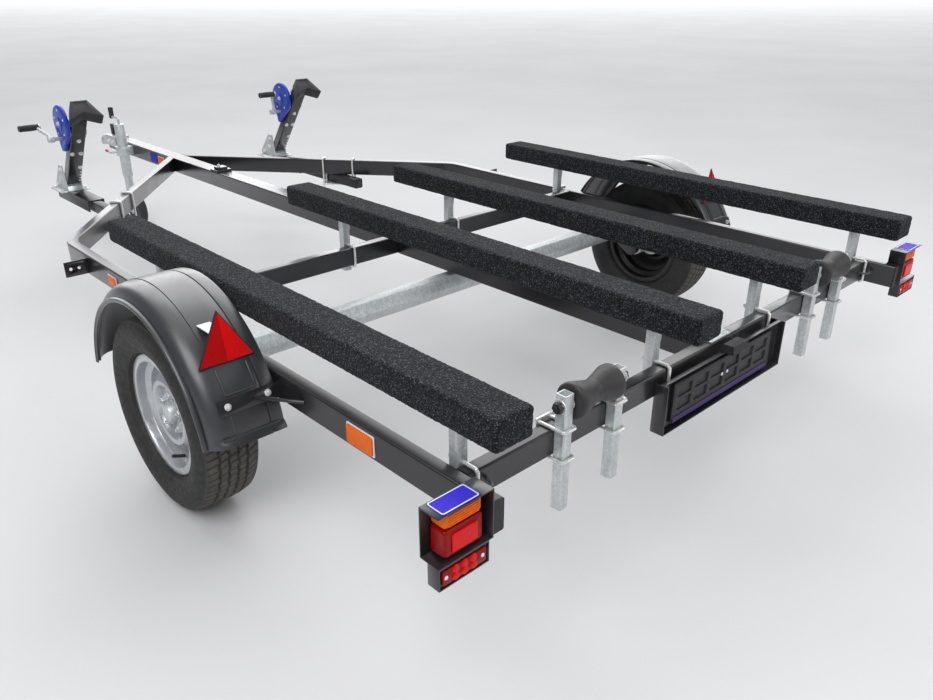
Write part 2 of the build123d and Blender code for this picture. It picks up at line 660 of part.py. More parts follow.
def rollers():
    """Waisted keel rollers on pins between square posts behind the rear crossbeam."""
    x = REAR_BEAM_BACK - ROLLER_POST_W / 2
    half = ROLLER_POST_W / 2
    head = ROLLER_Z + ROLLER_POST_HEAD
    supports = []
    for side, name in SIDES.items():
        ends = roller_post_y(side)
        for y in ends:
            column = post(x, y, ROLLER_POST_W, POST_T, ROLLER_POST_FOOT, head)
            supports.append(column - pin_y(x, y - half, y + half, ROLLER_Z, ROLLER_PIN_R + ROD_GAP))
        pin = pin_y(x, ends[0] - half - ROLLER_NUT_L, ends[1] + half + ROLLER_NUT_L, ROLLER_Z, ROLLER_PIN_R)
        for y0, way in ((ends[0] - half, -1), (ends[1] + half, 1)):
            pin += pin_y(x, y0 + way * ROD_GAP, y0 + way * ROLLER_NUT_L, ROLLER_Z, ROLLER_NUT_R)
        supports.append(pin)
        bore = ROLLER_PIN_R + RUNNING_FIT
        end = ROLLER_L / 2
        flank = [(end, bore), (end, ROLLER_R - ROLLER_EDGE), (end - ROLLER_EDGE, ROLLER_R),
                 (end - ROLLER_FACE, ROLLER_R), (ROLLER_NECK / 2, ROLLER_WAIST_R)]
        shape = flank + [(-y, r) for y, r in reversed(flank)]
        add(f"keel_roller_{name}", lathe_y([(side * ROLLER_Y + y, r) for y, r in shape], x, ROLLER_Z))
    add("roller_posts", Compound(children=[s for piece in supports for s in piece.solids()]))


def number_plate():
    """Sheet tray behind the rear crossbeam with a moulded plate holder and a lamp."""
    y0 = PLATE_Y - PLATE_W / 2
    y1 = PLATE_Y + PLATE_W / 2
    back = REAR_BEAM_BACK - PLATE_STANDOFF
    floor = PLATE_TOP - PLATE_H
    lip = back - PLATE_LEDGE
    tray = block(back - SHEET, back, y0, y1, floor, PLATE_TOP)
    for y in (y0, y1 - SHEET):
        tray += block(lip, REAR_BEAM_BACK, y, y + SHEET, floor, PLATE_TOP)
    tray += block(lip, back, y0, y1, floor, floor + SHEET)
    tray += block(lip + PLATE_LEDGE / 2, back, y0, y1, PLATE_TOP - SHEET, PLATE_TOP)
    add("plate_bracket", tray)

    seat = back - SHEET
    middle = (floor + PLATE_TOP) / 2
    holder = block(seat - HOLDER_T, seat, PLATE_Y - HOLDER_W / 2, PLATE_Y + HOLDER_W / 2,
                   middle - HOLDER_H / 2, middle + HOLDER_H / 2)
    pitch = (HOLDER_W - 2 * HOLDER_RIM) / HOLDER_CELLS
    cell = (pitch - CELL_RIB) / 2
    for k in range(HOLDER_CELLS):
        y = PLATE_Y - HOLDER_W / 2 + HOLDER_RIM + pitch * (k + 0.5)
        for row in CELL_ROWS:
            z = middle + row
            holder -= block(seat - HOLDER_T, seat - HOLDER_T + CELL_T, y - cell, y + cell,
                            z - CELL_H / 2, z + CELL_H / 2)
    add("plate_holder", holder)

    lamp_x = back - PLATE_LAMP_D * PLATE_LAMP_BACK
    foot = Plane.XY.offset(PLATE_TOP) * Pos(lamp_x, PLATE_LAMP_Y) * Rectangle(PLATE_LAMP_D, PLATE_LAMP_W)
    crown = Plane.XY.offset(PLATE_TOP + PLATE_LAMP_H) * Pos(lamp_x, PLATE_LAMP_Y) * Rectangle(
        PLATE_LAMP_D * PLATE_CROWN_D, PLATE_LAMP_W * PLATE_CROWN_W)
    add("plate_lamp", loft([foot, crown]))


def rear_lights():
    """Sheet light boxes outside the rails, with their lamps and short leads."""
    y0 = RAIL_OUT
    y1 = RAIL_OUT + LIGHT_W
    shell = block(LIGHT_BACK, LIGHT_FRONT, y0, y1, LIGHT_SHELF, LIGHT_TOP)
    shell -= block(LIGHT_BACK, LIGHT_FRONT - SHEET, y0 + SHEET, y1, LIGHT_SHELF + SHEET, LIGHT_TOP - SHEET)
    led_floor = LIGHT_SHELF - LED_BOX_H
    led_front = LIGHT_BACK + LED_BOX_D
    shell += block(LIGHT_BACK, led_front, y0 + LED_BOX_INSET, y1, led_floor, LIGHT_SHELF)
    shell -= block(LIGHT_BACK, LIGHT_BACK + LED_T, y0 + LED_BOX_INSET + SHEET, y1 - SHEET,
                   led_floor + SHEET, LIGHT_SHELF - SHEET)
    add_pair("light_box", shell)

    y_mid = (y0 + y1) / 2
    z_mid = (LIGHT_SHELF + LIGHT_TOP) / 2
    seat = LIGHT_FRONT - SHEET
    lamp = block(seat - LAMP_D, seat, y_mid - LAMP_W / 2, y_mid + LAMP_W / 2,
                 z_mid - LAMP_H / 2, z_mid + LAMP_H / 2)
    lamp = fillet(lamp.edges().filter_by(Axis.X), LAMP_CORNER)
    lamp = chamfer(lamp.faces().sort_by(Axis.X)[0].edges(), LAMP_EDGE)
    add("tail_lamps", both_sides(lamp))
    led_z = (led_floor + LIGHT_SHELF) / 2
    led_seat = LIGHT_BACK + LED_T
    led_y = y_mid + LED_SHIFT
    led = bar(Axis.X, LED_CORNER, led_seat - LED_T, led_seat, led_y - LED_W / 2, led_y + LED_W / 2,
              led_z - LED_H / 2, led_z + LED_H / 2)
    add("led_lamps", both_sides(led))

    z = RAIL_MID_Z + CABLE_RISE
    start = RAIL_IN - CABLE_INSET
    lead = rod([(REAR_BEAM_BACK, start, z), (REAR_BEAM_BACK - CABLE_REACH, start, z),
                (REAR_BEAM_BACK - CABLE_REACH, RAIL_IN, z)], CABLE_R, CABLE_BEND)
    add("light_leads", both_sides(lead))


def winch_stands():
    """Outriggers under the drawbar rails, leaning posts with bow stops, and hand winches."""
    half = STAND_POST_W / 2
    deep = STAND_POST_D / 2
    foot = Pos(STAND_POST_X, 0, DECK) * Rot(0, -STAND_LEAN, 0)
    over = STAND_POST_L + BOW_H / 2
    column = foot * bar(Axis.Z, TUBE_CORNER, -deep, deep, -half, half, STAND_FOOT_RISE, over)

    # The base is a folded channel over the outrigger, with two gussets and a spacer for the post
    nose = STAND_POST_X + BASE_FORE
    tail = STAND_POST_X - BASE_AFT
    under = RAIL_FLOOR - OUTRIGGER_W
    base = bar(Axis.X, TUBE_CORNER, CROSSING_X - OUTRIGGER_BEHIND, nose, -OUTRIGGER_W / 2, OUTRIGGER_W / 2,
               under, RAIL_FLOOR)
    base += block(tail, nose, -half - GUSSET_T, half + GUSSET_T, RAIL_FLOOR, DECK)
    heel = STAND_POST_X - GUSSET_AFT
    crest = STAND_POST_X - GUSSET_PEAK
    peak = DECK + GUSSET_H
    outline = Polygon((heel, DECK), (nose, DECK), (nose, DECK + GUSSET_LIP), (crest + GUSSET_CREST / 2, peak),
                      (crest - GUSSET_CREST / 2, peak), align=None)
    wide = half + GUSSET_T + GUSSET_FOOT_W
    base += block(heel, nose, -wide, wide, RAIL_FLOOR, DECK)
    for y in (-half - GUSSET_T, half):
        base += extrude(Plane.XZ.offset(-y) * outline, -GUSSET_T)
        base += block(tail, nose, y, y + GUSSET_T, under, RAIL_FLOOR)
    base += foot * pin_y(0, -half, half, SPACER_RISE, SPACER_R)

    tip = BOW_FORE - BOW_D
    notch = (BOW_FORE - BOW_NOTCH, 0)
    wing = [(BOW_FORE, BOW_FRONT_W / 2), (tip, BOW_REAR_W / 2), (tip, BOW_REAR_W / 2 - BOW_TIP)]
    vee = Polygon(*wing, notch, *[(x, -y) for x, y in reversed(wing)], align=None)
    stop = extrude(Plane.XY * vee, BOW_H)
    rim = BOW_FORE - BOW_RIM
    stop -= block(rim - BOW_POCKET_L, rim, BOW_RIM - BOW_FRONT_W / 2, BOW_FRONT_W / 2 - BOW_RIM,
                  BOW_H - BOW_POCKET_T, BOW_H)
    top = foot * Pos(0, 0, STAND_POST_L) * Rot(0, -BOW_TILT, 0)
    stop = top * stop
    column -= top * block(-BOW_D, BOW_D, -BOW_D, BOW_D, 0, BOW_D)

    # Winch side plates flank the post and carry the drum; the gear cover is on the left plate
    hold_z = DRUM_Z - DRUM_FLANGE_R
    hold_x = STAND_POST_X - (hold_z - DECK) * tan(LEAN)
    plate = hull_plate([(DRUM_X, DRUM_Z, WINCH_PLATE_R), (CRANK_X, CRANK_Z, WINCH_SHAFT_R),
                        (hold_x, hold_z, WINCH_FOOT_R)], half, half + WINCH_PLATE_T)
    sides = plate + Pos(0, -STAND_POST_W - WINCH_PLATE_T, 0) * plate
    frame = sides + pin_y(DRUM_X, -half - WINCH_PLATE_T, half + WINCH_PLATE_T, DRUM_Z, DRUM_PIN_R)
    cover_in = half + WINCH_PLATE_T
    cover_out = cover_in + COVER_T
    toe = (DRUM_X + COVER_FOOT_AHEAD, DRUM_Z - COVER_FOOT_DOWN, COVER_FOOT_R)
    cover = hull_plate([(DRUM_X, DRUM_Z, COVER_R), toe], cover_in, cover_out)
    cover = chamfer(cover.faces().sort_by(Axis.Y)[-1].edges(), COVER_EDGE)
    cover -= pin_y(CRANK_X, cover_out - CRANK_SEAT, cover_out, CRANK_Z, CRANK_SHAFT_R + ROD_GAP)

    drum_end = half - MOVING_GAP
    bore = DRUM_PIN_R + RUNNING_FIT
    drum = lathe_y([(-drum_end, bore), (-drum_end, DRUM_FLANGE_R), (DRUM_FLANGE_T - drum_end, DRUM_FLANGE_R),
                    (DRUM_FLANGE_T - drum_end, DRUM_R), (drum_end - DRUM_FLANGE_T, DRUM_R),
                    (drum_end - DRUM_FLANGE_T, DRUM_FLANGE_R), (drum_end, DRUM_FLANGE_R), (drum_end, bore)],
                   DRUM_X, DRUM_Z)
    arm_y = cover_out + CRANK_OUT
    for side, name in SIDES.items():
        place = Pos(0, side * STAND_Y, 0)
        add(f"winch_outrigger_{name}", place * base)
        add(f"winch_post_{name}", place * column)
        add(f"bow_stop_{name}", place * stop)
        add(f"winch_frame_{name}", place * frame)
        add(f"winch_cover_{name}", place * cover)
        add(f"winch_drum_{name}", place * drum)
        grip_y = arm_y + CRANK_ARM_RISE
        arm = rod([(0, arm_y, 0), (CRANK_ARM_L * CRANK_BEND_FROM, arm_y, 0),
                   (CRANK_ARM_L * CRANK_BEND_TO, grip_y, 0), (CRANK_ARM_L, grip_y, 0)], CRANK_ARM_R, CRANK_BEND)
        crank = arm + pin_y(0, cover_out - CRANK_SEAT + ROD_GAP, arm_y + CRANK_HUB_R, 0, CRANK_SHAFT_R)
        crank += pin_y(0, arm_y - CRANK_HUB_R, arm_y + CRANK_HUB_R, 0, CRANK_HUB_R)
        crank += pin_y(CRANK_ARM_L, grip_y - GRIP_R, grip_y + GRIP_L, 0, GRIP_R)
        turn = Pos(CRANK_X, 0, CRANK_Z) * Rot(0, -CRANK_REST[side], 0)
        add(f"winch_crank_{name}", place * turn * crank)


def coupling():
    """Pressed-steel ball coupling saddled over the nose of the spine, and its lever."""
    top = RAIL_TOP + SADDLE_T
    cheek = SPINE_SIDE + SADDLE_T
    saddle = block(SADDLE_TAIL, SPINE_NOSE, -cheek, cheek, RAIL_TOP, top)
    for y in (-cheek, SPINE_SIDE):
        saddle += block(SADDLE_TAIL, SPINE_NOSE, y, y + SADDLE_T, RAIL_TOP - SADDLE_DROP, top)
    rear = Plane.YZ.offset(SPINE_NOSE) * Pos(0, top - SADDLE_DROP / 2) * Rectangle(2 * cheek, SADDLE_DROP)
    front = Plane.YZ.offset(BALL_X - NECK_END) * Pos(0, BALL_Z + NECK_RISE) * Rectangle(NECK_W, NECK_H)
    neck = loft([rear, front])
    dome = Pos(BALL_X, 0, BALL_Z) * Sphere(SOCKET_R)
    skirt = pin_z(BALL_X, 0, SOCKET_MOUTH, BALL_Z, SOCKET_R)
    below = block(SPINE_NOSE, NOSE + SOCKET_R, -SOCKET_R, SOCKET_R, 0, SOCKET_MOUTH)
    socket = pin_z(BALL_X, 0, SOCKET_MOUTH, BALL_Z, BALL_R) + Pos(BALL_X, 0, BALL_Z) * Sphere(BALL_R)
    add("coupling_head", saddle + neck + dome + skirt - below - socket)

    heel = SPINE_NOSE - LEVER_FOOT
    grip = SPINE_NOSE - LEVER_L
    outline = Polygon((heel, top), (SPINE_NOSE, top), (SPINE_NOSE, top + LEVER_UP), (grip, top + LEVER_UP),
                      (grip, top + LEVER_UP - LEVER_BAR), (heel, top + LEVER_UP - LEVER_BAR), align=None)
    lever = extrude(Plane.XZ.offset(LEVER_T / 2) * fillet(outline.vertices(), LEVER_ROUND), -LEVER_T)
    add("coupling_lever", lever)


def jockey():
    """Clamped jockey tube with a sliding leg, a swivelling fork and its wheel."""
    hold = CLAMP_WALL + JOCKEY_TUBE_R
    mid = RAIL_MID_Z
    floor = mid - CLAMP_H / 2
    collar = block(JOCKEY_X - hold, JOCKEY_X + hold, SPINE_SIDE, JOCKEY_Y, floor, floor + CLAMP_H)
    collar += pin_z(JOCKEY_X, JOCKEY_Y, floor, floor + CLAMP_H, hold)
    collar -= pin_z(JOCKEY_X, JOCKEY_Y, mid - CLAMP_H, mid + CLAMP_H, JOCKEY_TUBE_R + ROD_GAP)
    screw_y = JOCKEY_Y + hold - SCREW_SEAT
    collar += pin_y(JOCKEY_X, screw_y, screw_y + SCREW_L, mid, SCREW_R)
    bar_y = screw_y + SCREW_L - SCREW_R
    tail = JOCKEY_X - TOMMY_TAIL
    collar += pin_x(tail, tail + TOMMY_L, bar_y, mid, TOMMY_R)
    add("jockey_clamp", collar)

    leg_room = JOCKEY_LEG_R + ROD_GAP
    tube = pin_z(JOCKEY_X, JOCKEY_Y, JOCKEY_TUBE_FOOT, JOCKEY_TUBE_TOP, JOCKEY_TUBE_R)
    tube -= pin_z(JOCKEY_X, JOCKEY_Y, JOCKEY_TUBE_FOOT, JOCKEY_TUBE_TOP - JOCKEY_CAP_T, leg_room)
    add("jockey_tube", tube)
    arm_z = JOCKEY_TUBE_TOP + JOCKEY_CRANK_UP
    knob_z = arm_z - JOCKEY_CAP_T
    crank = rod([(JOCKEY_X, JOCKEY_Y, JOCKEY_TUBE_TOP), (JOCKEY_X, JOCKEY_Y, arm_z),
                 (JOCKEY_X + JOCKEY_CRANK_L, JOCKEY_Y, arm_z)], JOCKEY_CRANK_R, JOCKEY_CRANK_BEND)
    crank += pin_z(JOCKEY_X + JOCKEY_CRANK_L, JOCKEY_Y, knob_z, knob_z + JOCKEY_KNOB_L, JOCKEY_KNOB_R)
    add("jockey_crank", crank)

    crown_floor = 2 * JOCKEY_WHEEL_R + MOVING_GAP
    crown_top = crown_floor + FORK_T
    leg_foot = crown_top + ROD_GAP
    leg = pin_z(JOCKEY_X, JOCKEY_Y, leg_foot, JOCKEY_LEG_TOP, JOCKEY_LEG_R)
    socket_top = leg_foot + FORK_PIN_L + FORK_PIN_ROOM
    leg -= pin_z(JOCKEY_X, JOCKEY_Y, leg_foot, socket_top, FORK_PIN_R + RUNNING_FIT)
    add("jockey_leg", leg)

    wheel_x = JOCKEY_X - JOCKEY_TRAIL
    half = JOCKEY_WHEEL_W / 2
    cheek = half + MOVING_GAP
    wide = cheek + FORK_T
    fork = block(wheel_x - FORK_W / 2, JOCKEY_X + JOCKEY_LEG_R, JOCKEY_Y - wide, JOCKEY_Y + wide,
                 crown_floor, crown_top)
    head = (JOCKEY_X - JOCKEY_RECESS, crown_top - FORK_HEAD_R, FORK_HEAD_R)
    for y in (JOCKEY_Y - wide, JOCKEY_Y + cheek):
        fork += hull_plate([(wheel_x, JOCKEY_WHEEL_R, FORK_W / 2), head], y, y + FORK_T)
    fork += pin_z(JOCKEY_X, JOCKEY_Y, crown_top, crown_top + FORK_PIN_L, FORK_PIN_R)
    fork += pin_y(wheel_x, JOCKEY_Y - cheek, JOCKEY_Y + cheek, JOCKEY_WHEEL_R, JOCKEY_PIN_R)
    add("jockey_fork", fork)

    bore = JOCKEY_PIN_R + RUNNING_FIT
    soft = JOCKEY_WHEEL_ROUND
    bend = soft * JOCKEY_ROUND_SHARE
    sunk = JOCKEY_RECESS - half
    shape = [(-half, bore), (-half, JOCKEY_HUB_R), (sunk, JOCKEY_HUB_R + JOCKEY_RECESS),
             (sunk, JOCKEY_WHEEL_R - JOCKEY_TREAD), (-half, JOCKEY_WHEEL_R - JOCKEY_TREAD + JOCKEY_RECESS),
             (-half, JOCKEY_WHEEL_R - soft), (bend - half, JOCKEY_WHEEL_R - bend), (soft - half, JOCKEY_WHEEL_R)]
    ring = shape + [(-y, r) for y, r in reversed(shape)]
    add("jockey_wheel", lathe_y([(JOCKEY_Y + y, r) for y, r in ring], wheel_x, JOCKEY_WHEEL_R))


def reflectors():
    """Amber reflectors on the rails and the drawbar, and brackets for front markers."""
    pieces = []
    # Columns: x of the middle, carrying face y, size
    table = [(SIDE_REFLECTOR_X, RAIL_OUT, SIDE_REFLECTOR), (FRONT_REFLECTOR_X, RAIL_OUT, SMALL_REFLECTOR),
             (DRAWBAR_REFLECTOR_X, SPINE_SIDE, SMALL_REFLECTOR)]
    for x, face, (length, height, depth) in table:
        pieces.append(bar(Axis.Y, REFLECTOR_CORNER, x - length / 2, x + length / 2, face, face + depth,
                          RAIL_MID_Z - height / 2, RAIL_MID_Z + height / 2))
    add("side_reflectors", both_sides(Compound(children=[s for p in pieces for s in p.solids()])))

    z0 = RAIL_MID_Z - MARKER_H / 2
    z1 = RAIL_MID_Z + MARKER_H / 2
    tab = block(MARKER_X, MARKER_X + SHEET, RAIL_OUT, RAIL_OUT + MARKER_W, z0, z1)
    tab += block(MARKER_X, MARKER_X + MARKER_FOOT, RAIL_OUT, RAIL_OUT + SHEET, z0, z1)
    for share in MARKER_HOLES:
        tab -= pin_x(MARKER_X, MARKER_X + SHEET, RAIL_OUT + MARKER_W * share, RAIL_MID_Z, MARKER_HOLE_R)
    add("marker_brackets", both_sides(tab))


frame_tubes()
axle()
wheels()
fenders()
bunks()
clamps()
rollers()
number_plate()
rear_lights()
winch_stands()
coupling()
jockey()
reflectors()

os.makedirs("parts", exist_ok=True)
for node_name, node_shape in nodes.items():
    export_step(Pos(-MID_X, 0, 0) * node_shape, f"parts/{node_name}.step")
print(len(nodes), "pieces, middle of length at", round(MID_X, 1))
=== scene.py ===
import json
from math import cos, pi, radians, sin, sqrt

import bpy
import numpy as np
from mathutils import Matrix, Vector


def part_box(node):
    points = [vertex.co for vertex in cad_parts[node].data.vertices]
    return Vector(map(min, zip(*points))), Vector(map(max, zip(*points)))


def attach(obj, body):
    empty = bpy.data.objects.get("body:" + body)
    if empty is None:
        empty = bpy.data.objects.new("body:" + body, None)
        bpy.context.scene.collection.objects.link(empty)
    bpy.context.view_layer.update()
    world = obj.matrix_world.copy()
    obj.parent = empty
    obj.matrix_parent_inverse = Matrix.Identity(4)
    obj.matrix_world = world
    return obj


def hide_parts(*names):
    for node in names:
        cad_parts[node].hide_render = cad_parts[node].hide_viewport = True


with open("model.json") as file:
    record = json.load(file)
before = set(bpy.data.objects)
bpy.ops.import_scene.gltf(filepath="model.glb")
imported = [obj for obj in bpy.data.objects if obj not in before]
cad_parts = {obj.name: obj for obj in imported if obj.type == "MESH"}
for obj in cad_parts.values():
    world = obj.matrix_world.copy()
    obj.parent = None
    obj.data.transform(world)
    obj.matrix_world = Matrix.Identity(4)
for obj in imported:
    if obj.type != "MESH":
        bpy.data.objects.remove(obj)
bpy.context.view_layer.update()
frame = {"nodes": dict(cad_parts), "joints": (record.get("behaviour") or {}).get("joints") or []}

# The two-craft watercraft trailer, dressed: metres, +X forward, +Y left, +Z up.
SCENE = bpy.context.scene
nodes = frame["nodes"]
JOINTS = {j["name"]: Vector(j["pos_m"]) for j in frame["joints"]}
SIDES = {1: "left", -1: "right"}
UP = Vector((0, 0, 1))
FORWARD = Vector((1, 0, 0))
LEFT = Vector((0, 1, 0))
SHARP = radians(32)
CONE_SHARP = radians(13)
# Bevels on edges, and how far a fitting is let into a face or stands clear of it
SOFT_EDGE = 0.0012
FINE_EDGE = 0.0008
LET_IN = 0.001
SINK = 0.0005
HAIR = 0.0002

# Camera fitted to the photo
CAMERA_AT = (-3.225, 1.972, 1.45)
CAMERA_FORWARD = (0.6563, -0.6217, -0.4276)
CAMERA_LENS = 30.96
CAMERA_SENSOR = 36.0
CAMERA_FAR = 200.0

# Tyre, measured from the wheel's centre: (offset along the axle, radius)
TYRE_R = 0.2945
TREAD_HALF = 0.069
TYRE_SIDE = ((0.0602, 0.1663), (0.0606, 0.185), (0.067, 0.188), (0.0745, 0.191), (0.083, 0.2085),
             (0.0905, 0.228), (0.093, 0.243), (0.0915, 0.258), (0.0855, 0.2735), (0.077, 0.2862))
TYRE_STEPS = 600
TREAD_COLUMNS = 46
TREAD_DROP = 0.006
GROOVE_DEPTH = 0.0065
GROOVE_HALF = 0.0034
GROOVES = (-0.041, -0.0137, 0.0137, 0.041)
GROOVE_WAVE = 0.0012
GROOVE_WAVES = 48
# Sipes: how many round the tyre, how many a line across crosses per metre, their share
SIPE_COUNT = 75
SIPE_PER_M = 13.5
SIPE_SHARE = 0.13
SIPE_DEPTH = 0.004

# Fender: degrees from the rear, y from the trailer's mid-plane and radii from the wheel's axle.
# Its skin runs from the inner edge over the grooved crown to the rolled lip, as (y, radius).
FENDER_SKIN = ((1.054, 0.385), (1.0542, 0.392), (1.06, 0.3942), (1.089, 0.3949), (1.0912, 0.3945),
               (1.0924, 0.3915), (1.0952, 0.3915), (1.0966, 0.395), (1.1, 0.3956), (1.13, 0.3957),
               (1.165, 0.3955), (1.1935, 0.3951), (1.195, 0.393), (1.1975, 0.393), (1.205, 0.3928),
               (1.22, 0.3908), (1.232, 0.3875), (1.243, 0.3815), (1.252, 0.3725), (1.257, 0.3625),
               (1.2588, 0.3575), (1.2625, 0.359), (1.2668, 0.359), (1.2705, 0.3568), (1.272, 0.3535),
               (1.2712, 0.3505), (1.269, 0.349))
CROWN_R = 0.3956
FENDER_HEEL = (1.056, 0.3805)
FENDER_T = 0.005
SKIRT_FROM = 1.23
SKIRT_T = 0.003
FENDER_ENDS = (9.0, 170.0)
FENDER_STEPS = 150
# Flared lower edge at the rear and the fold above it
FLARE_SPAN = 3.2
FLARE_OUT = 0.012
FLARE_EDGE = 1.252
FLARE_FADE = 0.03
FENDER_FOLD = FENDER_ENDS[0] + FLARE_SPAN
FOLD_R = 0.3945
FOLD_Y = (1.068, 1.228)
FOLD_RIB = 0.0046
# Moulded panel at the rear: angles of its ends, its two sides from the mid-plane
PANEL = (28.0, 38.0)
PANEL_Y = (1.105, 1.19)
PANEL_R = 0.3953
PANEL_RIB = 0.0032

# Nuts and washers; the chamfer and the stud are shares of the nut's radius and height
M10_ACROSS = 0.0085
NUT_H = 0.008
WASHER_R = 0.0105
WASHER_T = 0.002
CHAMFER_R = 0.86
CHAMFER_H = 0.82
STUD_R = 0.52
STUD_H = 0.35
STUD_EDGE = 0.1


def boxes_of(node):
    """Corner boxes of the separate solids in a node, sorted by x, then y."""
    mesh = nodes[node].data
    index = {}
    ids = [index.setdefault(tuple(round(c, 5) for c in v.co), len(index)) for v in mesh.vertices]
    parent = list(range(len(index)))

    def root(i):
        while parent[i] != i:
            parent[i] = parent[parent[i]]
            i = parent[i]
        return i

    for polygon in mesh.polygons:
        first = root(ids[polygon.vertices[0]])
        for vertex in polygon.vertices[1:]:
            parent[root(ids[vertex])] = first
    groups = {}
    for place, i in index.items():
        groups.setdefault(root(i), []).append(place)
    found = [(Vector(np.min(g, axis=0)), Vector(np.max(g, axis=0))) for g in groups.values()]
    return sorted(found, key=lambda b: (round(b[0].x, 3), b[0].y))


def aim(place, direction):
    """A matrix at a place whose Z axis points along a direction."""
    return Matrix.Translation(place) @ Vector(direction).to_track_quat("Z", "Y").to_matrix().to_4x4()


def new_object(name, data):
    """An object in the scene."""
    made = bpy.data.objects.new(name, data)
    SCENE.collection.objects.link(made)
    return made


class Kit:
    """Gathers the solids of one piece as vertices and faces."""

    def __init__(self):
        self.verts, self.faces = [], []

    def add(self, verts, faces):
        base = len(self.verts)
        self.verts += [tuple(v) for v in verts]
        self.faces += [[i + base for i in face] for face in faces]

    def turned(self, profile, place, steps=28, phase=0.0):
        """A solid turned about the place's Z axis from (radius, height) corners; radius 0 closes an end."""
        verts, rows = [], []
        for r, z in profile:
            rows.append(len(verts))
            for k in range(steps if r else 1):
                a = phase + 2 * pi * k / steps
                verts.append(place @ Vector((r * cos(a), r * sin(a), z)))
        faces = []
        for (r0, _), (r1, _), i, j in zip(profile, profile[1:], rows, rows[1:]):
            for k in range(steps):
                n = (k + 1) % steps
                if r0 == 0:
                    faces.append([i, j + k, j + n])
                elif r1 == 0:
                    faces.append([i + k, j, i + n])
                else:
                    faces.append([i + k, j + k, j + n, i + n])
        self.add(verts, [face[::-1] for face in faces])
        return self

    def disc(self, radius, height, place, steps=28, edge=0.0):
        """A short cylinder on the place's XY plane with a rounded rim."""
        profile = [(0, 0), (radius, 0), (radius, height - edge), (radius - edge, height), (0, height)]
        self.turned(profile, place, steps)

    def box(self, low, high, place=Matrix()):
        """A box between two corners in the place's frame."""
        corners = [place @ Vector((x, y, z)) for x in (low[0], high[0]) for y in (low[1], high[1])
                   for z in (low[2], high[2])]
        faces = [[0, 1, 3, 2], [4, 6, 7, 5], [0, 4, 5, 1], [2, 3, 7, 6], [0, 2, 6, 4], [1, 5, 7, 3]]
        self.add(corners, faces)
        return self

    def nut(self, place, direction, radius=M10_ACROSS, height=NUT_H, washer=True, turn=0.2):
        """A hexagon head or nut on a washer."""
        at = aim(place, direction)
        if washer:
            self.disc(radius * WASHER_R / M10_ACROSS, WASHER_T, at, 24, WASHER_T / 4)
            at = at @ Matrix.Translation((0, 0, WASHER_T))
        crown = [(0, 0), (radius, 0), (radius, height * CHAMFER_H), (radius * CHAMFER_R, height), (0, height)]
        self.turned(crown, at, 6, turn)
        end = at @ Matrix.Translation((0, 0, height))
        self.disc(radius * STUD_R, height * STUD_H, end, 16, height * STUD_EDGE)

    def dome(self, place, direction, radius, height, steps=24):
        """A round head."""
        arc = [radians(a) for a in (90, 68, 45, 22)]
        profile = [(0, 0)] + [(radius * sin(a), height * cos(a)) for a in arc] + [(0, height)]
        self.turned(profile, aim(place, direction), steps)

    def grid(self, points, wrap_u=False, wrap_v=False):
        """A sheet of quads through an array of points, rows by columns."""
        rows, columns = points.shape[:2]
        faces = []
        for i in range(rows if wrap_u else rows - 1):
            here, there = i * columns, (i + 1) % rows * columns
            for j in range(columns if wrap_v else columns - 1):
                n = (j + 1) % columns
                faces.append([here + j, there + j, there + n, here + n])
        self.add(points.reshape(-1, 3), faces)

    def tube(self, points, radius, steps=14):
        """A round rod along points, with flat ends."""
        points = [Vector(p) for p in points]
        rings = []
        for i, p in enumerate(points):
            run = points[min(i + 1, len(points) - 1)] - points[max(i - 1, 0)]
            place = aim(p, run)
            turn = [2 * pi * k / steps for k in range(steps)]
            rings.append([place @ Vector((radius * cos(a), radius * sin(a), 0)) for a in turn])
        self.grid(np.array(rings), wrap_v=True)
        last = len(self.verts)
        self.faces.append([last - len(points) * steps + k for k in range(steps)][::-1])
        self.faces.append([last - steps + k for k in range(steps)])

    def slab(self, outline, thick, place):
        """A flat plate with the given outline."""
        count = len(outline)
        verts = [place @ Vector((x, y, z)) for z in (0, thick) for x, y in outline]
        faces = [list(range(count))[::-1], [count + k for k in range(count)]]
        faces += [[k, (k + 1) % count, count + (k + 1) % count, count + k] for k in range(count)]
        self.add(verts, faces)
        return self

    def frame(self, outer, inner, thick, place):
        """A flat ring between two outlines with as many corners each."""
        rows = [(inner, 0), (inner, thick), (outer, thick), (outer, 0)]
        self.grid(np.array([[place @ Vector((x, y, z)) for x, y in line] for line, z in rows]), wrap_v=True)
        return self

    def piece(self, name, look, bevel=0.0, body="chassis", slot=None):
        """The finished object, riding on its body."""
        slot = slot or SLOTS.get(look, "black_plastic")
        mesh = bpy.data.meshes.new(name)
        mesh.from_pydata(self.verts, [], self.faces)
        mesh.validate()
        made = new_object(name, mesh)
        made.data.materials.append(LOOKS[look])
        shade(made, bevel)
        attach(made, body)
        return made


def shade(made, bevel=0.0, sharp=SHARP):
    """Smooth shading with sharp edges, and an optional small bevel on them."""
    made.data.shade_smooth()
    made.data.set_sharp_from_angle(angle=sharp)
    if bevel:
        edge = made.modifiers.new("edges", "BEVEL")
        edge.width = bevel
        edge.segments = 2
        edge.limit_method = "ANGLE"
        edge.angle_limit = sharp
        edge.harden_normals = True


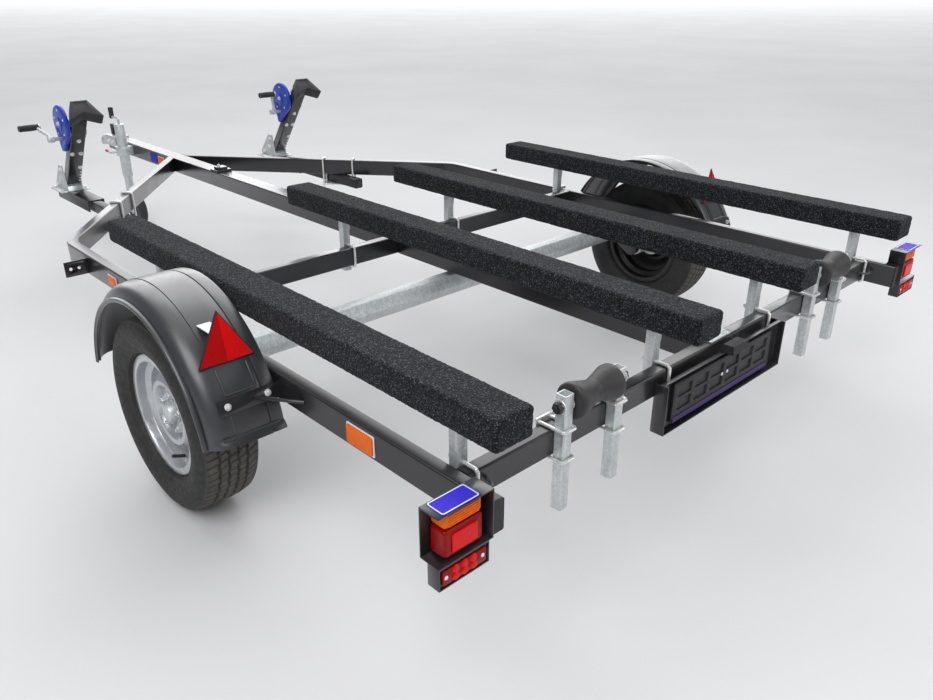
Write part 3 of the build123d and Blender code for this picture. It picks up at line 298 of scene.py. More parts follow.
class Look:
    """A procedural material under construction."""

    def __init__(self, name, roughness, metallic=0.0):
        self.material = bpy.data.materials.new(name)
        self.material.use_nodes = True
        self.tree = self.material.node_tree
        self.shader = self.tree.nodes["Principled BSDF"]
        self.give("Roughness", roughness)
        self.give("Metallic", metallic)
        self.place = self.node("ShaderNodeTexCoord").outputs["Object"]

    def node(self, kind, **inputs):
        made = self.tree.nodes.new(kind)
        for key, value in inputs.items():
            self.set(made.inputs[key.replace("_", " ")], value)
        return made

    def set(self, socket, value):
        if isinstance(value, bpy.types.NodeSocket):
            self.tree.links.new(value, socket)
        else:
            socket.default_value = value

    def give(self, name, value):
        self.set(self.shader.inputs[name], value)

    def noise(self, scale, detail=3.0, rough=0.55, place=None):
        at = place or self.place
        made = self.node("ShaderNodeTexNoise", Vector=at, Scale=scale, Detail=detail, Roughness=rough)
        return made.outputs["Fac"]

    def cells(self, scale, output="Color", metric="EUCLIDEAN"):
        made = self.node("ShaderNodeTexVoronoi", Vector=self.place, Scale=scale)
        made.distance = metric
        return made.outputs[output]

    def axis(self, name):
        return self.node("ShaderNodeSeparateXYZ", Vector=self.place).outputs[name]

    def math(self, operation, a, b=0.0):
        made = self.node("ShaderNodeMath")
        made.operation = operation
        self.set(made.inputs[0], a)
        self.set(made.inputs[1], b)
        return made.outputs[0]

    def times(self, a, b):
        return self.math("MULTIPLY", a, b)

    def ramp(self, value, *stops):
        made = self.node("ShaderNodeValToRGB", Fac=value)
        ramp = made.color_ramp
        while len(ramp.elements) < len(stops):
            ramp.elements.new(0.5)
        for element, (at, colour) in zip(ramp.elements, stops):
            element.position = at
            element.color = (*colour, 1.0) if isinstance(colour, tuple) else (colour, colour, colour, 1.0)
        return made.outputs["Color"]

    def cloud(self, scale, detail, low, high, rough=0.55):
        """Noise between two values or colours."""
        return self.ramp(self.noise(scale, detail, rough), (0.3, low), (0.7, high))

    def mix(self, share, a, b, kind="MIX"):
        made = self.node("ShaderNodeMix")
        made.data_type = "RGBA"
        made.blend_type = kind
        self.set(made.inputs["Factor"], share)
        self.set(made.inputs["A"], a)
        self.set(made.inputs["B"], b)
        return made.outputs["Result"]

    def colour(self, value):
        self.give("Base Color", value)

    def roughness(self, value):
        self.give("Roughness", value)

    def bump(self, height, strength, distance):
        made = self.node("ShaderNodeBump", Height=height, Strength=strength, Distance=distance)
        normal = self.shader.inputs["Normal"]
        if normal.is_linked:
            self.set(made.inputs["Normal"], normal.links[0].from_socket)
        self.set(normal, made.outputs["Normal"])

    def grain(self, scale, detail, strength, distance):
        self.bump(self.noise(scale, detail), strength, distance)

    def coat(self, weight, roughness):
        self.give("Coat Weight", weight)
        self.give("Coat Roughness", roughness)


def rgb(red, green, blue):
    """A colour from 0 to 255 display values."""
    shares = [c / 255 for c in (red, green, blue)]
    return tuple(c / 12.92 if c < 0.04045 else ((c + 0.055) / 1.055) ** 2.4 for c in shares)


def paint_nodes(look):
    """Adds satin black paint to a look and returns its colour and roughness."""
    dust = look.noise(2.6, 5.0, 0.6)
    colour = look.ramp(dust, (0.3, rgb(22, 22, 24)), (0.75, rgb(33, 33, 36)))
    return colour, look.cloud(9.0, 4.0, 0.26, 0.36)


def black_paint():
    look = Look("black_paint", 0.32)
    colour, rough = paint_nodes(look)
    look.colour(colour)
    look.roughness(rough)
    look.coat(0.85, 0.22)
    look.give("Specular IOR Level", 0.3)
    look.grain(900.0, 2.0, 0.05, 0.0006)
    look.grain(14.0, 2.0, 0.03, 0.004)
    return look.material


def zinc_nodes(look):
    """Adds galvanised streaks and faint spangle to a look and returns its colour and roughness."""
    spangle = look.node("ShaderNodeSeparateColor", Color=look.cells(170.0)).outputs["Red"]
    drawn = look.node("ShaderNodeMapping", Vector=look.place, Scale=(75.0, 75.0, 7.0)).outputs["Vector"]
    streak = look.noise(1.0, 4.0, 0.6, drawn)
    base = look.ramp(spangle, (0.0, rgb(200, 206, 208)), (0.5, rgb(212, 217, 218)), (1.0, rgb(224, 228, 229)))
    stain = look.ramp(streak, (0.3, 0.78), (0.62, 1.0))
    colour = look.mix(1.0, base, stain, "MULTIPLY")
    patch = look.math("ADD", look.times(spangle, 0.3), look.times(streak, 0.7))
    return colour, look.ramp(patch, (0.2, 0.32), (0.8, 0.5))


def galvanised():
    look = Look("galvanised", 0.42, 0.45)
    colour, rough = zinc_nodes(look)
    look.colour(colour)
    look.roughness(rough)
    look.grain(60.0, 4.0, 0.08, 0.001)
    look.grain(700.0, 2.0, 0.05, 0.0004)
    return look.material


def bright_zinc():
    look = Look("bright_zinc", 0.3, 0.6)
    look.colour(look.cloud(60.0, 3.0, rgb(222, 224, 223), rgb(242, 242, 239)))
    look.roughness(look.cloud(420.0, 2.0, 0.24, 0.34))
    look.grain(900.0, 2.0, 0.03, 0.0003)
    return look.material


def stand_base():
    """Black channel, with galvanised gussets above a height and ahead of a station."""
    look = Look("stand_base", 0.4)
    black, black_rough = paint_nodes(look)
    zinc, zinc_rough = zinc_nodes(look)
    above = look.math("GREATER_THAN", look.axis("Z"), STAND_FLOOR)
    ahead = look.math("GREATER_THAN", look.axis("X"), STAND_HEEL)
    bare = look.times(above, ahead)
    look.colour(look.mix(bare, black, zinc))
    look.roughness(look.mix(bare, black_rough, zinc_rough))
    look.give("Metallic", look.times(bare, 0.45))
    look.grain(700.0, 2.0, 0.06, 0.0005)
    return look.material


def carpet():
    look = Look("bunk_carpet", 0.95)
    loops = look.node("ShaderNodeSeparateColor", Color=look.cells(420.0)).outputs["Red"]
    fleck = look.ramp(loops, (0.0, rgb(9, 9, 10)), (0.5, rgb(19, 19, 21)), (0.74, rgb(36, 38, 42)),
                      (0.92, rgb(66, 70, 77)), (1.0, rgb(100, 104, 112)))
    worn = look.cloud(7.0, 4.0, 0.78, 1.0)
    look.colour(look.mix(1.0, fleck, worn, "MULTIPLY"))
    look.give("Specular IOR Level", 0.12)
    look.give("Sheen Weight", 0.06)
    look.give("Sheen Roughness", 0.6)
    look.bump(look.cells(420.0, "Distance"), 0.8, 0.0015)
    look.grain(1400.0, 2.0, 0.4, 0.0006)
    return look.material


def tyre_rubber():
    """Black side walls and a dusty brown-grey tread, told apart by the radius."""
    look = Look("tyre_rubber", 0.72)
    centre = JOINTS["wheel_spin_left"]
    dx = look.math("SUBTRACT", look.axis("X"), centre.x)
    dz = look.math("SUBTRACT", look.axis("Z"), centre.z)
    radius = look.math("SQRT", look.math("ADD", look.times(dx, dx), look.times(dz, dz)))
    tread = look.ramp(look.math("DIVIDE", radius, TYRE_R), (0.955, 0.0), (0.985, 1.0))
    dust = look.noise(24.0, 5.0, 0.6)
    wall = look.ramp(dust, (0.3, rgb(30, 30, 31)), (0.72, rgb(44, 44, 44)))
    road = look.ramp(dust, (0.3, rgb(66, 63, 58)), (0.72, rgb(86, 82, 75)))
    look.colour(look.mix(tread, wall, road))
    look.roughness(look.cloud(70.0, 3.0, 0.55, 0.78))
    look.grain(900.0, 3.0, 0.1, 0.0006)
    return look.material


def rubber(name, dark, pale, rough):
    look = Look(name, rough)
    look.colour(look.ramp(look.noise(30.0, 5.0, 0.6), (0.3, dark), (0.75, pale)))
    look.roughness(look.cloud(120.0, 3.0, rough - 0.08, rough + 0.1))
    look.grain(800.0, 3.0, 0.1, 0.0005)
    return look.material


def fender_plastic():
    look = Look("fender_plastic", 0.4)
    look.colour(look.cloud(5.0, 4.0, rgb(38, 39, 42), rgb(48, 49, 53), 0.6))
    look.roughness(look.cloud(40.0, 4.0, 0.36, 0.5))
    look.coat(1.0, 0.32)
    look.grain(1200.0, 2.0, 0.08, 0.0004)
    look.grain(6.0, 2.0, 0.05, 0.004)
    return look.material


def rim_paint(side):
    """Silver outside; near-black painted shade on the inboard side and on faces turned inwards."""
    look = Look(f"rim_paint_{SIDES[side]}", 0.34, 0.7)
    flake = look.cloud(700.0, 1.0, rgb(196, 199, 203), rgb(208, 210, 213))
    grime = look.ramp(look.noise(16.0, 5.0, 0.65), (0.3, 0.86), (0.6, 1.0))
    silver = look.mix(1.0, flake, grime, "MULTIPLY")
    wheel = JOINTS[f"wheel_spin_{SIDES[side]}"]
    outward = look.times(look.axis("Y"), float(side))
    normal = look.node("ShaderNodeTexCoord").outputs["Normal"]
    facing = look.node("ShaderNodeSeparateXYZ", Vector=normal).outputs["Y"]
    outer = look.math("GREATER_THAN", outward, side * wheel.y + 0.005)
    front = look.math("GREATER_THAN", look.times(facing, float(side)), -0.35)
    unshaded = look.times(outer, front)
    # Where the rim lies inboard or faces inwards, a near-black painted shade replaces the silver and the
    # metal
    look.colour(look.mix(unshaded, (*rgb(26, 26, 27), 1), silver))
    look.give("Metallic", look.times(unshaded, 0.75))
    look.roughness(look.cloud(90.0, 3.0, 0.26, 0.42))
    look.grain(300.0, 3.0, 0.02, 0.0004)
    return look.material


def lens(name, deep, bright, scale):
    """Moulded lens plastic with small prisms."""
    look = Look(name, 0.24)
    prism = look.cells(scale, "Distance", metric="CHEBYCHEV")
    look.colour(look.mix(look.noise(9.0, 3.0), look.ramp(prism, (0.1, bright), (0.9, deep)), (*bright, 1.0)))
    look.roughness(look.cloud(60.0, 3.0, 0.18, 0.3))
    look.bump(prism, 0.25, 0.001)
    look.give("Specular IOR Level", 0.18)
    return look.material


def plastic(name, colour, pale, rough, coat=0.0):
    look = Look(name, rough)
    look.colour(look.ramp(look.noise(20.0, 4.0), (0.3, colour), (0.75, pale)))
    look.roughness(look.cloud(150.0, 3.0, rough - 0.06, rough + 0.1))
    look.grain(1300.0, 2.0, 0.07, 0.0004)
    if coat:
        look.coat(coat, 0.15)
    return look.material


LOOKS = {
    "black": black_paint(),
    "zinc": galvanised(),
    "bright": bright_zinc(),
    "carpet": carpet(),
    "tyre": tyre_rubber(),
    "fender": fender_plastic(),
    "roller": rubber("roller_rubber", rgb(40, 40, 42), rgb(58, 57, 57), 0.5),
    "bow": rubber("bow_rubber", rgb(34, 34, 37), rgb(48, 48, 52), 0.55),
    "moulded": plastic("moulded_black", rgb(22, 22, 23), rgb(34, 34, 36), 0.5),
    "grip": plastic("grip_black", rgb(26, 26, 26), rgb(44, 43, 42), 0.55),
    "blue": plastic("winch_blue", rgb(16, 56, 168), rgb(26, 74, 196), 0.36, 0.2),
    "red": lens("red_lens", rgb(84, 0, 2), rgb(150, 2, 4), 420.0),
    "red_bright": lens("red_reflex", rgb(196, 4, 6), rgb(232, 12, 14), 520.0),
    # A darker copy of the reflex red, used as painted shade on the left facets of the triangles
    "red_shade": lens("red_shaded_facet", rgb(150, 4, 6), rgb(184, 10, 12), 520.0),
    "amber": lens("amber_lens", rgb(190, 66, 2), rgb(240, 112, 8), 480.0),
    "violet": plastic("label_violet", rgb(28, 2, 180), rgb(38, 6, 204), 0.6),
    "strip": plastic("strip_violet", rgb(44, 18, 84), rgb(60, 28, 108), 0.45),
    "white": plastic("label_white", rgb(222, 220, 232), rgb(240, 238, 248), 0.4, 0.2),
    "red_tip": plastic("red_sleeve", rgb(196, 30, 36), rgb(220, 52, 54), 0.42, 0.2),
    "lead": rubber("lead_rubber", rgb(66, 68, 70), rgb(92, 94, 96), 0.5),
}
# Winch stands: just above the outriggers' top, and the station behind their gussets
GUSSET_REACH = 0.161
STAND_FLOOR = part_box("side_rail_left")[0].z + 0.001
STAND_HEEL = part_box("winch_outrigger_left")[1].x - GUSSET_REACH
# Slots of the looks, unless a piece names another; the rest go with black plastic
SLOTS = {"black": "frame_paint", "zinc": "galvanised", "bright": "galvanised", "carpet": "carpet",
         "tyre": "tyre_rubber", "fender": "fender_plastic", "blue": "blue_plastic", "amber": "amber_lens",
         "red": "red_lens", "red_bright": "red_lens", "red_shade": "red_lens"}


def both(*parts):
    """Node names of parts on both sides."""
    return [f"{part}_{side}" for part in parts for side in SIDES.values()]


NODE_LOOKS = {
    "black": ["spine", "rear_crossbeam", "front_crossbeam", "fender_stays", "plate_bracket",
              "marker_brackets", *both("side_rail", "winch_post", "light_box", "axle_arm")],
    "zinc": ["axle_beam", "bunk_posts", "roller_posts", "coupling_head", "jockey_clamp", "jockey_tube",
             "jockey_crank", "jockey_leg", "jockey_fork",
             *both("hub", "winch_frame", "winch_drum", "winch_crank")],
    "bright": ["clamps"],
    "roller": ["jockey_wheel", *both("keel_roller")],
    "bow": both("bow_stop"),
    "amber": ["side_reflectors"],
    "blue": both("winch_cover"),
    "moulded": ["plate_holder", "plate_lamp", "coupling_lever"],
    "lead": ["light_leads"],
    "red": ["led_lamps"],
}
NODE_WELD = 0.00005


def dress_nodes():
    """Materials and soft edges for the CAD nodes that stay in view."""
    stand = stand_base()
    chosen = {node: LOOKS[look] for look, names in NODE_LOOKS.items() for node in names}
    for side, name in SIDES.items():
        chosen[f"winch_outrigger_{name}"] = stand
        chosen[f"rim_{name}"] = rim_paint(side)
    for name, look in chosen.items():
        node = nodes[name]
        node.data.materials.clear()
        node.data.materials.append(look)
        node.modifiers.new("weld", "WELD").merge_threshold = NODE_WELD
        shade(node, SOFT_EDGE, CONE_SHARP if name.startswith("keel_roller") else SHARP)


# Carpet: how far it reaches past the bare bunk's lower and upper corner, its corners and its pile
CARPET_UNDER = Vector((0.003, 0.005, 0.009))
CARPET_OVER = Vector((0.003, 0.005, 0.003))
CARPET_CORNER = 0.01
CARPET_VOXEL = 0.0034
PILE_SIZE = 0.0065
PILE_DEPTH = 0.0024
LUMP_SIZE = 0.03
LUMP_DEPTH = 0.0016


def carpets():
    """Looped carpet wrapped round each bunk."""
    pile = bpy.data.textures.new("pile", "VORONOI")
    pile.noise_scale = PILE_SIZE
    lumps = bpy.data.textures.new("lumps", "CLOUDS")
    lumps.noise_scale = LUMP_SIZE
    for side in SIDES.values():
        for place in ("outer", "inner"):
            node = f"bunk_{side}_{place}"
            low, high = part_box(node)
            wrap = Kit().box(low - CARPET_UNDER, high + CARPET_OVER)
            made = wrap.piece(f"carpet_{side}_{place}", "carpet")
            corner = made.modifiers.new("corner", "BEVEL")
            corner.width = CARPET_CORNER
            corner.segments = 3
            voxels = made.modifiers.new("voxels", "REMESH")
            voxels.mode = "VOXEL"
            voxels.voxel_size = CARPET_VOXEL
            voxels.use_smooth_shade = True
            for texture, depth in ((pile, PILE_DEPTH), (lumps, LUMP_DEPTH)):
                push = made.modifiers.new("push", "DISPLACE")
                push.texture = texture
                push.texture_coords = "GLOBAL"
                push.strength = depth
                push.mid_level = 0.5
            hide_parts(node)


def to_space(angles, y, r, centre, side):
    """Points turned about a wheel's axle, with y outwards from the trailer's mid-plane."""
    x = centre.x - r * np.cos(angles)[:, None]
    z = centre.z + r * np.sin(angles)[:, None]
    return np.stack([x, np.broadcast_to(side * y, x.shape), z], axis=-1)


def tyres():
    """Road tyres with a rounded, grooved and siped tread."""
    angles = np.linspace(0, 2 * pi, TYRE_STEPS, endpoint=False)
    tread = np.linspace(TREAD_HALF, -TREAD_HALF, TREAD_COLUMNS)
    crown = [(y, TYRE_R - TREAD_DROP * abs(y / TREAD_HALF) ** 3) for y in tread]
    across, r = np.array([*TYRE_SIDE, *crown, *[(-y, r) for y, r in reversed(TYRE_SIDE)]]).T
    on_tread = np.zeros(len(across), bool)
    on_tread[len(TYRE_SIDE):-len(TYRE_SIDE)] = True
    turn = angles[:, None]
    sipe = (turn / (2 * pi) * SIPE_COUNT + across * SIPE_PER_M) % 1.0 < SIPE_SHARE
    sink = np.where(sipe & on_tread, SIPE_DEPTH, 0.0)
    for k, groove in enumerate(GROOVES):
        wave = groove + GROOVE_WAVE * np.sin(turn * GROOVE_WAVES + k)
        sink = np.where((np.abs(across - wave) < GROOVE_HALF) & on_tread, GROOVE_DEPTH, sink)
    for side, name in SIDES.items():
        centre = JOINTS[f"wheel_spin_{name}"]
        kit = Kit()
        kit.grid(to_space(angles, across + side * centre.y, r - sink, centre, side), wrap_u=True, wrap_v=True)
        if side > 0:
            kit.faces = [face[::-1] for face in kit.faces]
        made = kit.piece(f"road_tyre_{name}", "tyre", body=f"wheel_{name}")
        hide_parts(f"tyre_{name}")


def fenders():
    """Moulded arches with a grooved crown, a rolled lip and a flared lower edge at the rear."""
    outer = np.array(FENDER_SKIN)
    inner = outer[::-1].copy()
    inner[:, 1] -= FENDER_T
    inner[:, 0] -= np.where(inner[:, 0] > SKIRT_FROM, SKIRT_T, 0)
    inner[-1] = FENDER_HEEL
    y, r = np.vstack([outer, inner]).T
    angles = np.radians(np.linspace(*FENDER_ENDS, FENDER_STEPS))
    flare = np.clip((FENDER_FOLD - np.degrees(angles)[:, None]) / FLARE_SPAN, 0, 1)
    r = r + FLARE_OUT * flare ** 0.5 * np.clip((FLARE_EDGE - y) / FLARE_FADE, 0, 1)
    rim = len(y)
    for side, name in SIDES.items():
        kit = Kit()
        kit.grid(to_space(angles, y, r, JOINTS[f"wheel_spin_{name}"], side), wrap_v=True)
        for end in (0, (FENDER_STEPS - 1) * rim):
            for k in range(rim // 2 - 1):
                quad = [end + i for i in (k, k + 1, rim - 2 - k, rim - 1 - k)]
                kit.faces.append(quad[::-1] if end else quad)
        if side < 0:
            kit.faces = [face[::-1] for face in kit.faces]
        made = kit.piece(f"arch_{name}", "fender")
        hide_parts(f"fender_{name}")


# Wheel fittings, measured outwards from the wheel's centre; the valve's route is (outwards, radius)
WHEEL_FACE = 0.022
LUG_COUNT = 5
LUG_CIRCLE = 0.056
LUG_SEAT = (0.0135, 0.004)
LUG_NUT = (0.0112, 0.015)
LUG_TURN = 0.3
GREASE_CAP = ((0.0285, 0), (0.034, 0), (0.034, 0.005), (0.0305, 0.007), (0.03, 0.022), (0.026, 0.0285),
              (0.012, 0.031), (0, 0.031))
VALVE_ANGLE = radians(-78)
VALVE_ROUTE = ((0.03, 0.141), (0.046, 0.136), (0.066, 0.128))
VALVE_R = 0.0052


def wheel_fittings():
    """Nuts, grease cap and valve on the outer side of each wheel."""
    radial = Vector((-cos(VALVE_ANGLE), 0, sin(VALVE_ANGLE)))
    for side, name in SIDES.items():
        centre = JOINTS[f"wheel_spin_{name}"]
        out = LEFT * side
        face = centre + out * WHEEL_FACE
        kit = Kit()
        for k in range(LUG_COUNT):
            a = radians(90 + 360 / LUG_COUNT * k)
            place = face + Vector((LUG_CIRCLE * cos(a), 0, LUG_CIRCLE * sin(a)))
            kit.disc(*LUG_SEAT, aim(place, out), 24, LUG_SEAT[1] / 4)
            kit.nut(place + out * LUG_SEAT[1], out, *LUG_NUT, False, LUG_TURN * k)
        kit.turned(GREASE_CAP, aim(face, out), 36)
        kit.piece(f"wheel_nuts_{name}", "zinc", body=f"wheel_{name}")
        valve = Kit()
        valve.tube([centre + out * along + radial * radius for along, radius in VALVE_ROUTE], VALVE_R)
        valve.piece(f"valve_{name}", "grip", body=f"wheel_{name}", slot="roller_rubber")


def rounded(length, width, radius, steps=6):
    """Corners of a rounded rectangle about the origin."""
    points = []
    for k, (sx, sy) in enumerate(((1, 1), (-1, 1), (-1, -1), (1, -1))):
        for step in range(steps + 1):
            a = pi / 2 * (k + step / steps)
            points.append((sx * (length / 2 - radius) + radius * cos(a),
                           sy * (width / 2 - radius) + radius * sin(a)))
    return points


# Labels: thickness and corner, and for the white line its thickness and each edge's (size less, corner)
LABEL_T = 0.0008
LABEL_ROUND = 0.007
LINE_T = 0.0012
LINE_EDGES = ((0.004, 0.0055), (0.009, 0.004))


def label(name, place, length, width, border=True):
    """A blank violet label, with a white line round it if it has a border."""
    Kit().slab(rounded(length, width, LABEL_ROUND), LABEL_T, place).piece(name, "violet")
    if border:
        edges = [rounded(length - less, width - less, corner) for less, corner in LINE_EDGES]
        Kit().frame(*edges, LINE_T, place).piece(f"{name}_line", "white")


# Tail lamps: the share of the height that is red, and the insets of the lenses
LAMP_SPLIT = 0.64
LAMP_SEAM = 0.0008
LAMP_ROUND = 0.008
RED_BACK = 0.004
AMBER_BACK = 0.006
AMBER_IN = 0.002
REFLEX_IN = 0.018
REFLEX_EDGE = 0.012
REFLEX_T = 0.006
REFLEX_ROUND = 0.002
RIBS = 5
RIB_FIRST = 0.006
RIB_PITCH = 0.0058
RIB_X = (0.0045, 0.008)
RIB_IN = 0.012
RIB_H = 0.003
# Light-emitting lamps: domes in columns and rows, with a screw at each end
LED_PITCH = 0.0235
LED_ROW = 0.0088
LED_DOME = ((0.0094, 0), (0.0094, 0.0015), (0.0066, 0.0042), (0, 0.0052))
LED_SCREW_Y = 0.049
LED_SCREW = (0.005, 0.003)
BOX_LABEL = (0.1, 0.052)
BOX_LABEL_OUT = 0.01


def tail_lamps():
    """Red and amber lenses with a reflex field and moulded ribs."""
    for name, (low, high) in zip(("right", "left"), boxes_of("tail_lamps")):
        shelf = low.z + (high.z - low.z) * LAMP_SPLIT
        body = Kit().box((low.x + RED_BACK, low.y, low.z), (high.x, high.y, shelf - LAMP_SEAM))
        body.piece(f"lamp_red_{name}", "red", LAMP_ROUND)
        turn = Kit().box((low.x + AMBER_BACK, low.y + AMBER_IN, shelf + LAMP_SEAM),
                         (high.x, high.y - AMBER_IN, high.z))
        made = turn.piece(f"lamp_amber_{name}", "amber", LAMP_ROUND)
        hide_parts("tail_lamps")
        reflex = Kit().box((low.x, low.y + REFLEX_IN, low.z + REFLEX_EDGE),
                           (low.x + REFLEX_T, high.y - REFLEX_IN, shelf - REFLEX_EDGE))
        reflex.piece(f"lamp_reflex_{name}", "red_bright", REFLEX_ROUND)
        ribs = Kit()
        for k in range(RIBS):
            z = shelf + RIB_FIRST + k * RIB_PITCH
            ribs.box((low.x + RIB_X[0], low.y + RIB_IN, z),
                     (low.x + RIB_X[1], high.y - RIB_IN, z + RIB_H))
        ribs.piece(f"lamp_ribs_{name}", "amber", FINE_EDGE)


def led_lamps():
    """Domes and screws of the lower lamps."""
    for name, (low, high) in zip(("right", "left"), boxes_of("led_lamps")):
        lights, screws = Kit(), Kit()
        middle = (low + high) / 2
        for column in (-1, 0, 1):
            for row in (-1, 1):
                place = Vector((low.x + LET_IN, middle.y + column * LED_PITCH, middle.z + row * LED_ROW))
                lights.turned(LED_DOME, aim(place, -FORWARD), 20)
        for end in (-1, 1):
            place = Vector((low.x + SINK, middle.y + end * LED_SCREW_Y, middle.z))
            screws.dome(place, -FORWARD, *LED_SCREW)
        lights.piece(f"led_domes_{name}", "red_bright")
        screws.piece(f"led_screws_{name}", "white", slot="galvanised")


def box_labels():
    """Labels on top of the light boxes."""
    for side, name in SIDES.items():
        low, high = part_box(f"light_box_{name}")
        middle = (low + high) / 2
        place = aim(Vector((middle.x, middle.y + side * BOX_LABEL_OUT, high.z + HAIR)), UP)
        label(f"label_{name}", place @ Matrix.Rotation(pi / 2, 4, "Z"), *BOX_LABEL)


def fender_frame(name, side, angle, y, radius):
    """A matrix on the fender at an angle from the rear: Z outwards, Y up the slope."""
    a = radians(angle)
    centre = JOINTS[f"wheel_spin_{name}"]
    normal = Vector((-cos(a), 0, sin(a)))
    slope = Vector((sin(a), 0, cos(a)))
    across = slope.cross(normal)
    place = Vector((centre.x, side * y, centre.z)) + normal * radius
    return Matrix.Translation(place) @ Matrix((across, slope, normal)).transposed().to_4x4()


def on_fender(name, side, angle, y, radius):
    """A place on the fender's crown."""
    return fender_frame(name, side, angle, y, radius).translation


# Triangles: edge, the angle at which their foot stands on the crown, their lean, and their lens
TRIANGLE_EDGE = 0.158
TRIANGLE_ANGLE = 40.0
TRIANGLE_LEAN = 10.0
TRIANGLE_Y = 1.153
TRIANGLE_BACK = 0.0045
TRIANGLE_LENS = 0.93
TRIANGLE_RIDGE = Vector((0, 0, 0.0055))
TRIANGLE_RIM = Vector((0, 0, 0.0015))
# Bracket behind a triangle: height of its shelf, reach inwards and outwards, where it meets the crown
BRACKET_UP = 0.034
BRACKET_IN = 0.012
BRACKET_OUT = 0.026
BRACKET_CROWN = 0.3935
BRACKET_FOOT = 0.006
BRACKET_T = 0.003
SHELF_UNDER = 0.002
SHELF_OVER = 0.001


def triangles():
    """Red triangular reflectors, upright on the fender: a black back with two facets that meet in a ridge."""
    height = TRIANGLE_EDGE * sin(radians(60))
    half = TRIANGLE_EDGE / 2
    corners = [(0, height * 2 / 3), (-half, -height / 3), (half, -height / 3)]
    faces = [[3, 4, 5], [0, 1, 4, 3], [1, 2, 5, 4], [2, 0, 3, 5], [0, 2, 1]]
    for side, name in SIDES.items():
        centre = JOINTS[f"wheel_spin_{name}"]
        base = on_fender(name, side, TRIANGLE_ANGLE, TRIANGLE_Y, CROWN_R)
        upright = fender_frame(name, side, TRIANGLE_LEAN, TRIANGLE_Y, CROWN_R).to_3x3().to_4x4()
        place = Matrix.Translation(base) @ upright @ Matrix.Translation((0, height / 3, 0))
        back = Kit().slab(corners, TRIANGLE_BACK, place)
        made = back.piece(f"triangle_back_{name}", "moulded", SOFT_EDGE)
        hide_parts("triangle_reflectors")
        top, left, right = [Vector((x * TRIANGLE_LENS, y * TRIANGLE_LENS, TRIANGLE_BACK)) for x, y in corners]
        foot = (left + right) / 2
        # The two facets are lit and shaded copies of one red: the left one takes the darker red as painted
        # shade
        for corner, look, facet in ((left, "red_shade", "left"), (right, "red_bright", "right")):
            rim = [top + TRIANGLE_RIM, corner + TRIANGLE_RIM, foot + TRIANGLE_RIDGE]
            facets = Kit()
            facets.add([place @ v for v in [top, corner, foot] + rim],
                       faces if facet == "left" else [face[::-1] for face in faces])
            facets.piece(f"triangle_{facet}_{name}", look)
        # A shelf from the crown to the triangle's back, and a flange up against the back
        bracket = Kit()
        tab = place @ Vector((0, BRACKET_UP, -LET_IN))
        reach = sqrt(BRACKET_CROWN ** 2 - (tab.z - centre.z) ** 2)
        ends = sorted((tab.y - side * BRACKET_IN, tab.y + side * BRACKET_OUT))
        bracket.box((tab.x + LET_IN, ends[0], tab.z - SHELF_UNDER),
                    (centre.x - reach, ends[1], tab.z + SHELF_OVER))
        flange = sorted((-side * BRACKET_OUT, side * BRACKET_IN))
        bracket.box((flange[0], BRACKET_FOOT, -BRACKET_T), (flange[1], BRACKET_UP, 0.0), place)
        bracket.piece(f"triangle_bracket_{name}", "zinc", FINE_EDGE)


def fender_panels():
    """Raised ribs round the plain panel above each rear stay, and the fold above the flared edge."""
    low, high = PANEL
    rise = [low + (high - low) * k / 8 for k in range(9)]
    for side, name in SIDES.items():
        kit = Kit()
        for y in PANEL_Y:
            kit.tube([on_fender(name, side, angle, y, PANEL_R) for angle in rise], PANEL_RIB, 10)
        kit.tube([on_fender(name, side, low, y, PANEL_R) for y in PANEL_Y], PANEL_RIB, 10)
        kit.tube([on_fender(name, side, FENDER_FOLD, y, FOLD_R) for y in FOLD_Y], FOLD_RIB, 12)
        kit.piece(f"fender_panel_{name}", "fender")


STAY_ANGLES = (24.0, 156.0)
STAY_BOLT_Y = (1.082, 1.196)
STAY_FACE_R = 0.4003
STAY_BOLT = (0.0076, 0.006)


def stay_bolts():
    """Hexagon bolts through the fender stays."""
    kit = Kit()
    for side, name in SIDES.items():
        for angle in STAY_ANGLES:
            for y in STAY_BOLT_Y:
                place = fender_frame(name, side, angle, y, STAY_FACE_R)
                kit.nut(place.translation, place.col[2].to_3d(), *STAY_BOLT)
    kit.piece("stay_bolts", "bright")


EAR_HALF = 0.013
EAR_T = 0.004
EAR_H = 0.05
EAR_FLANGE = 0.026
EAR_GAP = 0.002
EAR_EDGE = 0.001
EAR_DOWN = 0.03
EAR_BOLT = (0.0085, 0.007)


def post_ears():
    """Ears with bolts that hold the bunks to their posts."""
    ears, bolts = Kit(), Kit()
    for low, high in boxes_of("bunk_posts"):
        x = (low.x + high.x) / 2
        top = high.z - CARPET_UNDER.z
        ears.box((x - EAR_HALF, low.y - EAR_T, top - EAR_H), (x + EAR_HALF, low.y, top - EAR_GAP))
        ears.box((x - EAR_HALF, low.y - EAR_FLANGE, top - EAR_T), (x + EAR_HALF, low.y, top - HAIR))
        bolts.nut(Vector((x, low.y - EAR_T, top - EAR_DOWN)), -LEFT, *EAR_BOLT)
    ears.piece("post_ears", "zinc", EAR_EDGE)
    bolts.piece("post_bolts", "bright")


# Roller pins: the least width of a solid that is a pin, and the fittings on each end
PIN_LEAST = 0.1
PIN_PROUD = 0.0117
PIN_POST = 0.0303
PIN_WASHER = (0.0185, 0.0025)
PIN_NUT = (0.015, 0.0125)
INNER_WASHER = (0.0165, 0.0022)


